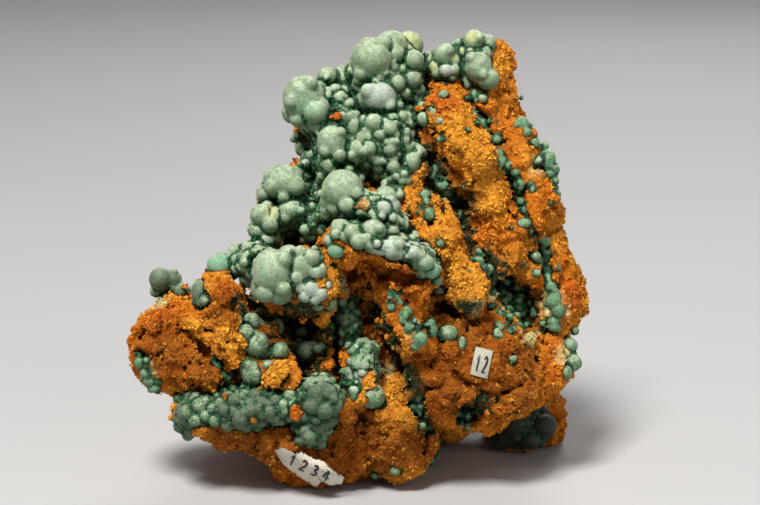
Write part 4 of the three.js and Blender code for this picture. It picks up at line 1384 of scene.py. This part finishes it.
class Habit(Enum):
    """The forms that small crystals and grains take."""

    GRAIN = "an uneven crumb with four faces"
    NEEDLE = "a slim crystal, pointed at both ends"

    def form(self) -> tuple[np.ndarray, np.ndarray]:
        """The form's corners and faces.

        Returns:
            The corners about its middle, and the numbers of the three corners of each face.
        """
        if self is Habit.GRAIN:
            corners = np.array([(1, 1, 1), (1, -1, -1), (-1, 1, -1), (-1, -1, 1)]) * 0.75
            return corners, np.array([(0, 1, 2), (0, 3, 1), (0, 2, 3), (1, 3, 2)])
        corners = np.array([(0.5, 0, 0), (0, 0.5, 0), (-0.5, 0, 0), (0, -0.5, 0), (0, 0, 2.2), (0, 0, -1)])
        faces = [(0, 1, 4), (1, 2, 4), (2, 3, 4), (3, 0, 4), (1, 0, 5), (2, 1, 5), (3, 2, 5), (0, 3, 5)]
        return corners, np.array(faces)


@dataclass(frozen=True)
class Scatter:
    """Many small crystals of one habit joined in one mesh. The sizes are half-widths in mm."""

    habit: Habit
    smallest: float
    largest: float
    tilt: float
    seed: int
    uneven: float = 0.35

    def build(self, seats: np.ndarray, facing: np.ndarray) -> tuple[np.ndarray, np.ndarray]:
        """Sets a crystal on each seat.

        Args:
            seats: where they stand, in mm.
            facing: the directions out of the ground there.

        Returns:
            The points and the faces.
        """
        rng = np.random.default_rng(self.seed)
        count = len(seats)
        corners, faces = self.habit.form()
        up = facing + rng.normal(size=(count, 3)) * self.tilt
        up /= np.linalg.norm(up, axis=1, keepdims=True)
        side = np.cross(up, rng.normal(size=(count, 3)))
        side /= np.linalg.norm(side, axis=1, keepdims=True)
        turned = np.stack([side, np.cross(up, side), up], 1)
        size = self.smallest + (self.largest - self.smallest) * rng.random((count, 1, 1)) ** 1.6
        bent = corners * rng.uniform(1 - self.uneven, 1 + self.uneven, (count,) + corners.shape)
        points = np.einsum("nci,nij->ncj", bent * size, turned) + seats[:, None]
        numbers = faces[None] + (np.arange(count) * len(corners))[:, None, None]
        return points.reshape(-1, 3), numbers.reshape(-1, 3)


@dataclass(frozen=True)
class Ground:
    """Places on a skin, the directions out of it there, and how open each place lies."""

    points: np.ndarray
    facing: np.ndarray
    openness: np.ndarray

    def picked(self, wanted: np.ndarray) -> "Ground":
        """Some of the places, by a mask or by their numbers."""
        return Ground(self.points[wanted], self.facing[wanted], self.openness[wanted])


class Row:
    """Points sorted from left to right, so that the few near a place are quickly found."""

    def __init__(self, skin: Skin, points: np.ndarray) -> None:
        """Sorts the points.

        Args:
            skin: the specimen's outside, on which places are found.
            points: the points, one row each.
        """
        self.skin = skin
        self.given = points
        self.order = np.argsort(points[:, 0])
        self.points = points[self.order]

    def near(self, place: np.ndarray, reach: float) -> np.ndarray:
        """The numbers of the points within a box about a place.

        Args:
            place: the box's middle.
            reach: half its width, in mm.

        Returns:
            The numbers, as the points came.
        """
        low, high = np.searchsorted(self.points[:, 0], (place[0] - reach, place[0] + reach))
        inside = (np.abs(self.points[low:high] - place) < reach).all(1)
        return self.order[low:high][inside]

    def gaps(self, spots: list[tuple[float, float]], reach: float) -> np.ndarray:
        """How many mm each point is from the nearest of some places on the skin.

        Args:
            spots: the places on the front sheet.
            reach: a distance beyond which points aren't looked at.

        Returns:
            One distance a point, far for those beyond reach.
        """
        across, down = np.array(spots, float).T
        least = np.full(len(self.given), UNSEEN)
        for place in SHEET.placed(across, down, self.skin.depth(across, down)):
            close = self.near(place, reach)
            least[close] = np.minimum(least[close], np.linalg.norm(self.given[close] - place, axis=1))
        return least

    def route(self, corners: list[tuple[float, float]], reach: float) -> np.ndarray:
        """How many mm each point is from a route on the skin.

        Args:
            corners: the route's corners on the front sheet.
            reach: a distance beyond which points aren't looked at.

        Returns:
            One distance a point.
        """
        steps = np.arange(0, len(corners) - 0.99, 0.2)
        along = [np.interp(steps, range(len(corners)), np.array(corners)[:, n]) for n in range(2)]
        return self.gaps(list(zip(*along)), reach)

    def patches(self, spots: list[tuple[float, float, float]]) -> np.ndarray:
        """How strongly each point belongs to some round patches.

        Args:
            spots: each patch's place on the front sheet and its radius in mm.

        Returns:
            From 0 to 1 for each point.
        """
        share = np.zeros(len(self.given))
        for across, down, wide in spots:
            share = np.maximum(share, 1 - self.gaps([(across, down)], 1.2 * wide) / (1.2 * wide))
        return share


@dataclass
class Rock:
    """The limonite block and the loose grains on it. The sizes are in mm."""

    skin: Skin
    front_grains: int = 47000
    front_smallest: float = 0.3
    back_grains: int = 30000
    back_smallest: float = 0.36
    coarse_crumb: float = 0.5
    fine_crumb: float = 0.3
    bare_rim: float = 0.45
    paper_rim: float = 0.6
    grain_sink: float = 0.12
    finish: LimoniteFinish = LimoniteFinish()
    green_hollows: Ground = field(init=False)

    def build(self) -> None:
        """Makes the block, then its grains."""
        points, faces = self.skin.rock.net()
        facing = self.skin.rock.facing(points)
        level = points[:, 2] < 0.4
        crumbs = self.coarse_crumb * Ripple(2, SEED + 5).at(points)
        crumbs += self.fine_crumb * Ripple(1.05, SEED + 6).at(points)
        crumbs *= np.clip(self.beside_papers(points), 0, 1) * ~level
        points = points + facing * crumbs[:, None]
        points[:, 2] = np.maximum(points[:, 2], 0)
        openness = self.skin.openness(points, facing) + 0.3 * crumbs
        ground = Ground(points, facing, openness)
        marks = self.marks(points, facing) | {"openness": openness, "tint": np.full(len(points), 0.08)}
        self.green_hollows = ground.picked((marks["stain_and_shade"] > 0.55) & (openness < 0.8))
        block = shape("limonite_block", points, faces, marks, self.finish)
        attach(block, "root")
        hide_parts("limonite_matrix")
        log.info("limonite_block: %d faces", len(faces))
        seen = facing @ SHEET.axes[1] < 0.3
        self.strew("limonite_grains_front", ground.picked(seen), self.front_grains, self.front_smallest)
        self.strew("limonite_grains_back", ground.picked(~seen), self.back_grains, self.back_smallest)

    def beside_papers(self, points: np.ndarray) -> np.ndarray:
        """How many mm each point lies beside the papers, less than nothing under them.

        Args:
            points: places on the rock.

        Returns:
            The distances, as the viewer sees them.
        """
        across, down, depth = SHEET.read(points)
        least = np.full(len(points), FAR)
        for outline in (CATALOGUE_LABEL, NUMBER_STICKER):
            corners = np.array(outline)
            middle = corners.mean(0)
            beside = np.full(len(points), -FAR)
            for (a, d), (run, fall) in zip(corners, np.roll(corners, -1, 0) - corners):
                side = np.sign((middle[0] - a) * fall - (middle[1] - d) * run)
                out = -side * ((across - a) * fall - (down - d) * run) / math.hypot(run, fall)
                beside = np.maximum(beside, out)
            least = np.minimum(least, beside)
        return np.where(depth > 30, FAR, least)

    def marks(self, points: np.ndarray, facing: np.ndarray) -> dict[str, np.ndarray]:
        """The colours of the rock's patches, its stain and its painted shade.

        Args:
            points: places on the rock or its grains.
            facing: the directions out of the rock there.

        Returns:
            Values from 0 to 1 for each point, by the names that the finish reads.
        """
        row = Row(self.skin, points)
        mottle = Ripple(2.1, SEED + 7).at(points)
        fine = Ripple(1.1, SEED + 8).at(points)
        back = facing @ SHEET.axes[1]
        front = np.clip(1.5 - 3 * back, 0, 1)
        # The black-green is partly the malachite's stain and partly painted shade: a thin dark rim about the
        # malachite, and the gaps, gullies and listed patches.
        stain_and_shade = np.clip(0.65 - self.skin.malachite(points) / 0.9, 0, 1)
        for width, _, route in list(GAPS.values()) + [GULLIES[name] for name in STAINED_SHADED_GULLIES]:
            beside = np.clip(1.6 - row.route(route, 3 * width) / (1.3 * width), 0, 0.95)
            stain_and_shade = np.maximum(stain_and_shade, beside * front)
        stain_and_shade = np.maximum(stain_and_shade, np.clip(2 * row.patches(STAIN_AND_SHADE_PATCHES) * front, 0, 0.95))
        stain_and_shade = np.clip(1.5 * (stain_and_shade + 0.6 * (mottle + fine) * (stain_and_shade > 0.02)) - 0.35, 0, 0.96)
        cream = row.patches(CREAM_PATCHES) * front
        cream = np.clip(1.4 * cream + 1.1 * fine - 0.15, 0, 0.95) * (cream > 0)
        return {
            "stain_and_shade": stain_and_shade,
            "cream": cream,
            "yellow": np.clip(1.2 * row.patches(YELLOW_PATCHES) + 0.4 * mottle, 0, 0.7) * front,
            "rust": np.clip(1.5 * row.patches(RUST_PATCHES) + 0.3 * mottle, 0, 0.85) * front,
            "shaded": np.clip(1.5 * row.patches(SHADED_PATCHES) + 0.2 * mottle, 0, 0.8) * front,
            "rear": np.clip(2 * back, 0, 1),
        }

    def strew(self, name: str, ground: Ground, count: int, smallest: float) -> None:
        """Strews grains over the open rock.

        Args:
            name: the piece's name.
            ground: places on the rock.
            count: how many grains there are.
            smallest: the smallest grain's half-width in mm; the largest has twice that.
        """
        rng = np.random.default_rng(SEED + len(ground.points))
        bare = self.skin.malachite(ground.points) > self.bare_rim
        bare &= (ground.points[:, 2] > 1) & (ground.openness > 0.3)
        bare &= self.beside_papers(ground.points) > self.paper_rim
        spots = ground.picked(rng.choice(np.flatnonzero(bare), count))
        seats = spots.points + rng.normal(size=(count, 3)) * 0.3
        seats -= spots.facing * (self.skin.rock.at(seats) + self.grain_sink)[:, None]
        scatter = Scatter(Habit.GRAIN, smallest, largest=2 * smallest, tilt=1.0, seed=SEED + 11)
        corners, faces = scatter.build(seats, spots.facing)
        corners[:, 2] = np.maximum(corners[:, 2], LIFTED)
        each = self.marks(seats, spots.facing)
        each |= {"openness": spots.openness + 0.2, "tint": rng.random(count)}
        marks = {mark: np.repeat(values, len(corners) // count) for mark, values in each.items()}
        grains = shape(name, corners, faces, marks, self.finish)
        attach(grains, "root")
        log.info("%s: %d faces", name, len(faces))


@dataclass
class Malachite:
    """The crusts of malachite that grew apart, and the small domes on them. The sizes are in mm."""

    skin: Skin
    crusts: dict[str, tuple[str, ...]]
    small_domes: int = 2600
    smallest_dome: float = 0.42
    dome_range: float = 0.95
    dome_softness: float = 0.08
    thickness: float = 1.1
    hidden_rim: float = 0.55
    coarse_velvet: float = 0.1
    fine_velvet: float = 0.05
    crease_shade: float = 0.55
    finish: MalachiteFinish = MalachiteFinish()
    crevices: Ground = field(init=False)

    def build(self) -> None:
        """Grows the small domes, cuts the crusts apart and dresses each."""
        self.add_small_domes()
        volume = self.skin.crust
        points, faces = self.lifted_off().net()
        facing = volume.facing(points)
        owners = self.owners(points)
        hidden = self.skin.rock.at(points) < self.hidden_rim - self.thickness
        points = points + facing * np.where(hidden, 0, self.velvet(points, owners))[:, None]
        points[:, 2] = np.maximum(points[:, 2], 0.05)
        crease = np.clip((0.95 - np.linalg.norm(volume.slope(points), axis=-1)) / 0.24, 0, 1)
        openness = self.skin.openness(points, facing, (0.5, 1.1, 2.4))
        openness -= self.crease_shade * crease * np.clip((0.98 - openness) / 0.12, 0, 1)
        ground = Ground(points, facing, openness)
        for name, grown in self.crusts.items():
            self.dress(name, grown, ground, faces, owners)
        self.crevices = ground.picked((openness < 0.45) & (openness > 0.05) & ~hidden)

    def lifted_off(self) -> Volume:
        """The malachite as a crust of its own, without what lies deep in the rock.

        Returns:
            Its volume.
        """
        volume = self.skin.crust
        body = Volume(*Skin.CRUST_BOX, volume.cell)
        body.values = volume.values.copy()
        near = np.argwhere(volume.values < 1.5)
        spot = tuple(near.T)
        under = self.skin.rock.at(near * volume.cell + volume.lowest) + self.thickness
        body.values[spot] = np.maximum(volume.values[spot], -under)
        return body

    def velvet(self, points: np.ndarray, owners: np.ndarray) -> np.ndarray:
        """The fine unevenness of the crusts, stronger in the clefts and on the band.

        Args:
            points: points on the malachite.
            owners: which group each point belongs to.

        Returns:
            How far out the skin goes at each, in mm.
        """
        names = list(self.skin.lumps)
        rough = np.isin(owners, [names.index(crust) for crust in self.crusts["cleft_malachite"]])
        drusy = np.isin(owners, [names.index(crust) for crust in self.crusts["band_malachite"]])
        height = self.coarse_velvet * Ripple(2.6, SEED + 13).at(points)
        height += self.fine_velvet * Ripple(1, SEED + 14).at(points)
        height *= 1 + 1.6 * rough + 1.1 * drusy
        return height

    def add_small_domes(self) -> None:
        """Sets small domes on the beds wherever no larger ball covers them."""
        rng = np.random.default_rng(SEED + 15)
        points, _ = self.skin.crust.net()
        free = np.full(len(points), FAR)
        row = Row(self.skin, points)
        lumps = [lump for lumps in self.skin.lumps.values() for lump in lumps]
        for ball in lumps:
            if ball.half.min() > 1.1 and ball.half.max() < 6.5:
                close = row.near(ball.centre, ball.half.max() + 2)
                free[close] = np.minimum(free[close], ball.outside(points[close]))
        beds = np.flatnonzero((free > 0.1) & (self.skin.rock.at(points) > -0.4))
        taken = np.full(len(points), -1.0)
        domes = []
        for number in rng.permutation(beds):
            radius = self.smallest_dome + self.dome_range * rng.random() ** 2
            if taken[number] > radius:
                continue
            close = row.near(points[number], 2.4)
            gap = np.linalg.norm(points[close] - points[number], axis=1)
            taken[close] = np.maximum(taken[close], 1.2 * (radius * 0.95 - gap) + 0.45)
            domes.append(Lump(points[number], np.full(3, radius), np.eye(3)))
            if len(domes) == self.small_domes:
                break
        self.skin.crust.fill(domes, self.dome_softness)
        log.info("small domes: %d", len(domes))

    def owners(self, points: np.ndarray) -> np.ndarray:
        """Which crust's beds and balls each point is nearest to.

        Args:
            points: points on the malachite.

        Returns:
            The number of the crust, in the order of the skin's lumps.
        """
        best = np.full(len(points), np.inf)
        owner = np.zeros(len(points), int)
        row = Row(self.skin, points)
        for number, lumps in enumerate(self.skin.lumps.values()):
            for lump in lumps:
                close = row.near(lump.centre, lump.half.max() + 3)
                gap = lump.outside(points[close])
                nearer = gap < best[close]
                owner[close[nearer]] = number
                best[close[nearer]] = gap[nearer]
        return owner

    def dress(
        self, name: str, grown: tuple[str, ...], ground: Ground, faces: np.ndarray, owners: np.ndarray
    ) -> None:
        """Makes one crust's piece.

        Args:
            name: the piece's name.
            grown: which groups of lumps belong to it.
            ground: places on all the malachite.
            faces: the faces between them.
            owners: which group each place belongs to.
        """
        names = list(self.skin.lumps)
        wanted = np.isin(owners, [names.index(crust) for crust in grown])
        own = faces[wanted[faces[:, 0]]]
        used, numbers = np.unique(own, return_inverse=True)
        place = ground.points[used]
        row = Row(self.skin, place)
        finish = VELVETS.get(name, self.finish)
        mottle = Ripple(3.5, SEED + 16).at(place)
        teal = np.clip(0.8 * Ripple(9, SEED + 17).at(place) - 0.25, 0, 0.4)
        for width, route in TEAL_TRAILS.values():
            teal = np.maximum(teal, np.clip(1.5 - row.route(route, 4 * width) / (2 * width), 0, 0.6))
        marks = {
            "openness": ground.openness[used],
            # More chalk on faces turned up: partly bloom, partly painted top light.
            "top_lit_bloom": np.clip(0.38 + 0.75 * ground.facing[used, 2], 0, 1),
            "teal": np.maximum(teal, np.clip(1.8 * row.patches(TEAL_DOMES), 0, 0.75)),
            "frost": np.clip(1.5 * row.patches(PALE_DOMES), 0, 0.65),
            "painted_shade": np.clip(1.8 * row.patches(SHADED_DOMES) + 0.3 * mottle, 0, 0.7),
            "straw": np.clip(1.6 * row.patches(YELLOWED_DOMES) + 0.25 * mottle - 0.1, 0, 0.75),
        }
        made = shape(name, place, numbers.reshape(own.shape), marks, finish)
        made.data.shade_smooth()
        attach(made, "root")
        node = name.replace("malachite", "crust")
        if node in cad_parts:
            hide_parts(node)
        log.info("%s: %d faces", name, len(own))


@dataclass
class Druse:
    """Needles in the malachite's crevices and in the rock's green hollows."""

    count: int = 15500
    crevice_share: float = 0.7
    finish: DruseFinish = DruseFinish()

    def build(self, malachite: Malachite, rock: Rock) -> None:
        """Sets the needles.

        Args:
            malachite: the crusts, already built.
            rock: the block, already built.
        """
        rng = np.random.default_rng(SEED + 18)
        in_crevices = int(self.count * self.crevice_share)
        crevices = self.drawn(rng, malachite.crevices, in_crevices)
        hollows = self.drawn(rng, rock.green_hollows, self.count - in_crevices)
        seats = np.concatenate([crevices.points, hollows.points])
        facing = np.concatenate([crevices.facing, hollows.facing])
        seats = seats + rng.normal(size=seats.shape) * 0.2
        scatter = Scatter(Habit.NEEDLE, smallest=0.12, largest=0.36, tilt=0.8, seed=SEED + 19)
        corners, faces = scatter.build(seats, facing)
        corners[:, 2] = np.maximum(corners[:, 2], LIFTED)
        marks = {"tint": np.repeat(rng.random(len(seats)), len(corners) // len(seats))}
        needles = shape("emerald_druse", corners, faces, marks, self.finish)
        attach(needles, "root")
        log.info("emerald_druse: %d faces", len(faces))

    def drawn(self, rng: np.random.Generator, ground: Ground, count: int) -> Ground:
        """So many places of the ground, drawn at random."""
        return ground.picked(rng.choice(len(ground.points), count))


# The corners of each digit's one stroke, as shares of its width and height.
DIGITS = {
    "1": [(0.2, 0.72), (0.55, 1), (0.5, 0)],
    "2": [(0.14, 0.8), (0.4, 1), (0.8, 0.85), (0.72, 0.5), (0.1, 0.02), (0.82, 0.04)],
    "3": [(0.1, 0.9), (0.55, 1), (0.8, 0.78), (0.4, 0.55), (0.85, 0.3), (0.55, 0), (0.1, 0.1)],
    "4": [(0.6, 0), (0.62, 1), (0.05, 0.32), (0.95, 0.34)],
}


@dataclass
class Label:
    """A paper label stuck on the rock, with plain digits on it.

    The outline, and the start and run of the line that the digits stand on, are places on the front sheet.
    The paper stands raised from the highest bumps under it, and follows the rest by a share of their height.
    """

    skin: Skin
    name: str
    node: str
    outline: list[tuple[float, float]]
    digits: str
    start: tuple[float, float]
    run: tuple[float, float]
    height: float
    stroke: float
    torn: float
    finish: PaperFinish = PaperFinish()
    raised: float = 0.35
    thickness: float = 0.25
    rings: int = 18
    follow: float = 0.35
    highest_bump: float = 1.5
    tear_step: float = 0.35
    narrow: float = 0.6
    ink_lift: float = 0.1
    fitted: np.ndarray = field(init=False)
    pull: float = field(default=0.0, init=False)

    def build(self) -> None:
        """Makes the paper, then the ink."""
        rim = self.rim()
        middle = rim.mean(0)
        shares = np.linspace(0, 1, self.rings)[1:]
        flat = np.concatenate([[middle]] + [middle + (rim - middle) * share for share in shares])
        self.settle(flat)
        depth = self.laid(flat)
        faces = self.disc(len(rim))
        last = 1 + (len(shares) - 1) * len(rim) + np.arange(len(rim))
        after = np.roll(last, -1)
        skirt = np.stack([last, last + len(flat), after + len(flat), after], 1)
        top = SHEET.placed(flat[:, 0], flat[:, 1], depth)
        bottom = SHEET.placed(flat[:, 0], flat[:, 1], depth + self.thickness)
        top[:, 2], bottom[:, 2] = np.maximum(top[:, 2], 0.1), np.maximum(bottom[:, 2], 0.05)
        edge = np.tile(np.concatenate([[0], np.repeat(shares, len(rim))]), 2)
        marks = {"edge": np.clip((edge - 0.93) * 9, 0, 0.6)}
        sheets = np.concatenate([faces, faces[:, ::-1] + len(flat), skirt])
        paper = shape(self.name, np.concatenate([top, bottom]), sheets, marks, self.finish)
        paper.data.shade_smooth()
        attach(paper, "root")
        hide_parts(self.node)
        self.write()
        log.info("%s: %d faces", self.name, len(sheets))

    def rim(self) -> np.ndarray:
        """The outline with its tears.

        Returns:
            A point every third of a millimetre, an even number of them.
        """
        rng = np.random.default_rng(SEED + 30)
        corners = np.array(self.outline)
        found = []
        for start, end in zip(corners, np.roll(corners, -1, 0)):
            steps = max(2, int(np.linalg.norm(end - start) / self.tear_step))
            found.append(start + (end - start) * np.arange(steps)[:, None] / steps)
        rim = np.concatenate(found)
        rim += rng.normal(size=rim.shape) * self.torn
        return rim[: len(rim) // 2 * 2]

    def disc(self, count: int) -> np.ndarray:
        """The faces of the rings about the middle.

        Args:
            count: how many points a ring has.

        Returns:
            The points' numbers, four a face.
        """
        around = np.arange(count)
        after = np.roll(around, -1)
        pair = np.arange(0, count, 2)
        faces = [np.stack([0 * pair, 1 + (pair + 2) % count, 2 + pair, 1 + pair], 1)]
        for ring in range(self.rings - 2):
            inner, outer = 1 + ring * count, 1 + (ring + 1) * count
            faces.append(np.stack([inner + around, inner + after, outer + after, outer + around], 1))
        return np.concatenate(faces)

    def bend(self, flat: np.ndarray) -> np.ndarray:
        """The terms of a gently bent sheet at places on the front sheet."""
        a, d = (flat - np.mean(self.outline, axis=0)).T
        return np.stack([np.ones(len(a)), a, d, a * a, a * d, d * d], 1)

    def settle(self, flat: np.ndarray) -> None:
        """Fits the bent sheet to the rock and pulls it out until the bumps lie under it.

        Args:
            flat: the paper's places on the front sheet, one row each.
        """
        depth = self.skin.depth(flat[:, 0], flat[:, 1])
        self.fitted, *_ = np.linalg.lstsq(self.bend(flat), depth, rcond=None)
        self.pull = np.percentile(self.laid(flat) - depth, 99.8) + self.raised

    def laid(self, flat: np.ndarray) -> np.ndarray:
        """The depth of the paper's face at places on the front sheet.

        Args:
            flat: the places, one row each.

        Returns:
            One depth a place.
        """
        bent = self.bend(flat) @ self.fitted
        around = [(x, y) for x in (-1, 0, 1) for y in (-1, 0, 1)]
        rough = np.mean([self.skin.depth(flat[:, 0] + x, flat[:, 1] + y) for x, y in around], axis=0) - bent
        return bent + self.follow * np.clip(rough, -self.highest_bump, self.highest_bump) - self.pull

    def write(self) -> None:
        """Draws the digits as thin strokes of ink."""
        length = np.linalg.norm(self.run)
        along = np.array(self.run) / length
        rise = np.array([along[1], -along[0]])
        wide = length / len(self.digits)
        flat, faces = [], []
        for place, digit in enumerate(self.digits):
            corner = np.array(DIGITS[digit]) * (wide * self.narrow, self.height) + (place * wide, 0)
            route = np.array(self.start) + corner[:, :1] * along + corner[:, 1:] * rise
            first = sum(len(stroke) for stroke in flat)
            stroke, ribbon = self.brush(route)
            flat.append(stroke)
            faces.append(ribbon + first)
        flat = np.concatenate(flat)
        points = SHEET.placed(flat[:, 0], flat[:, 1], self.laid(flat) - self.ink_lift)
        ink = shape(self.name + "_digits", points, np.concatenate(faces), {}, InkFinish())
        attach(ink, "root")

    def brush(self, route: np.ndarray) -> tuple[np.ndarray, np.ndarray]:
        """One stroke along a route, narrower at its ends.

        Args:
            route: places on the front sheet.

        Returns:
            The stroke's two edges, and the faces between them.
        """
        steps = np.linspace(0, len(route) - 1, 6 * len(route))
        path = np.stack([np.interp(steps, np.arange(len(route)), route[:, n]) for n in range(2)], 1)
        run = np.gradient(path, axis=0)
        length = np.maximum(np.linalg.norm(run, axis=1, keepdims=True), 1e-6)
        side = np.stack([-run[:, 1], run[:, 0]], 1) / length
        share = np.sin(np.linspace(0.5, math.pi - 0.35, len(path)))[:, None]
        half = self.stroke / 2 * (0.45 + 0.55 * share)
        row = np.arange(len(path) - 1)
        far = row + len(path)
        edges = np.concatenate([path + side * half, path - side * half])
        return edges, np.stack([row, row + 1, far + 1, far], 1)


@dataclass
class Studio:
    """The pale floor, the soft lights and the camera."""

    # Lamps: place and width in metres, and watts.
    LAMPS = {
        "key": ((-0.26, -0.62, 1.12), 0.34, 25),
        "fill": ((0.9, -0.8, 0.45), 0.9, 3),
        "back": ((0.3, 0.9, 0.8), 0.6, 5),
    }
    floor_size: float = 4.0
    pale: tuple[float, ...] = (0.42, 0.41, 0.4, 1)
    paler: tuple[float, ...] = (0.45, 0.44, 0.43, 1)
    air: tuple[float, ...] = (0.86, 0.88, 0.9, 1)
    air_strength: float = 0.2
    middle: tuple[float, ...] = (0, 0, 0.055)
    sensor: float = 36.0

    def build(self) -> None:
        """Sets up everything that isn't the specimen."""
        self.floor()
        for name, lamp in self.LAMPS.items():
            self.light(name, *lamp)
        world = bpy.data.worlds.new("studio_air")
        world.use_nodes = True
        glow = world.node_tree.nodes["Background"]
        glow.inputs["Color"].default_value = self.air
        glow.inputs["Strength"].default_value = self.air_strength
        bpy.context.scene.world = world
        bpy.context.scene.view_settings.view_transform = "Standard"
        self.camera()

    def floor(self) -> None:
        """Lays a pale floor that curves up far behind."""
        half = self.floor_size / 2
        curve = [(1.2 + 0.6 * math.sin(t), 0.6 - 0.6 * math.cos(t)) for t in np.linspace(0, 1.5, 16)]
        points = [(x, y, z) for y, z in [(-half, 0)] + curve + [(1.8, 2.5)] for x in (-half, half)]
        faces = [(2 * n, 2 * n + 1, 2 * n + 3, 2 * n + 2) for n in range(len(points) // 2 - 1)]
        mesh = bpy.data.meshes.new("floor")
        mesh.from_pydata(points, [], faces)
        mesh.shade_smooth()
        w = Wiring("floor_paint")
        w.feed(w.shader.inputs["Base Color"], w.blend(w.cloud(300), self.pale, self.paler))
        w.shader.inputs["Roughness"].default_value = 0.7
        mesh.materials.append(w.made)
        floor = bpy.data.objects.new("floor", mesh)
        bpy.context.scene.collection.objects.link(floor)

    def light(self, name: str, place: tuple[float, float, float], size: float, power: float) -> None:
        """Hangs a soft square lamp aimed at the specimen's middle.

        Args:
            name: the lamp's name.
            place: where it hangs, in metres.
            size: its width in metres.
            power: in watts.
        """
        lamp = bpy.data.lights.new(name, "AREA")
        lamp.size = size
        lamp.energy = power
        made = bpy.data.objects.new(name, lamp)
        made.location = place
        aim = Vector(self.middle) - Vector(place)
        made.rotation_euler = aim.to_track_quat("-Z", "Y").to_euler()
        bpy.context.scene.collection.objects.link(made)

    def camera(self) -> None:
        """Puts the camera where the specimen was seen from."""
        lens = bpy.data.cameras.new("camera")
        lens.lens = self.sensor * SHEET.distance / SHEET.width
        lens.sensor_width = self.sensor
        lens.clip_start = 0.01
        camera = bpy.data.objects.new("camera", lens)
        right, back, top = SHEET.axes
        turn = Matrix((right, top, -back)).transposed().to_4x4()
        camera.matrix_world = Matrix.Translation(Vector(SHEET.eye * MM)) @ turn
        bpy.context.scene.collection.objects.link(camera)
        bpy.context.scene.camera = camera


def main() -> None:
    """Builds the specimen's pieces in order, then its setting."""
    logging.basicConfig(level=logging.INFO, format="%(name)s: %(message)s")
    skin = Skin()
    skin.grow()
    log.info("skin grown")
    Studio().build()
    crusts = {
        "crown_malachite": ("crown", "shoulder", "boss", "shelf", "horn", "knob", "tip"),
        "band_malachite": ("band", "cavity", "drape"),
        "foot_malachite": ("foot",),
        "cleft_malachite": ("spur", "cleft", "edge", "crag", "bottom", "beads"),
    }
    malachite, rock = Malachite(skin, crusts), Rock(skin)
    malachite.build()
    rock.build()
    Druse().build(malachite, rock)
    catalogue = {"start": (71.7, 115.9), "run": (11.4, 5), "height": 2.6, "stroke": 0.62, "torn": 0.12}
    Label(skin, "catalogue_paper", "catalogue_label", CATALOGUE_LABEL, "1234", **catalogue).build()
    sticker = {"start": (118.5, 92.6), "run": (3.6, 0.8), "height": 4.2, "stroke": 0.5, "torn": 0.0}
    sticker["finish"] = PaperFinish("sticker_paper", white=paint(170, 165, 146), soiled=paint(128, 116, 92))
    Label(skin, "number_paper", "number_sticker", NUMBER_STICKER, "12", **sticker).build()


if __name__ == "__main__":
    main()
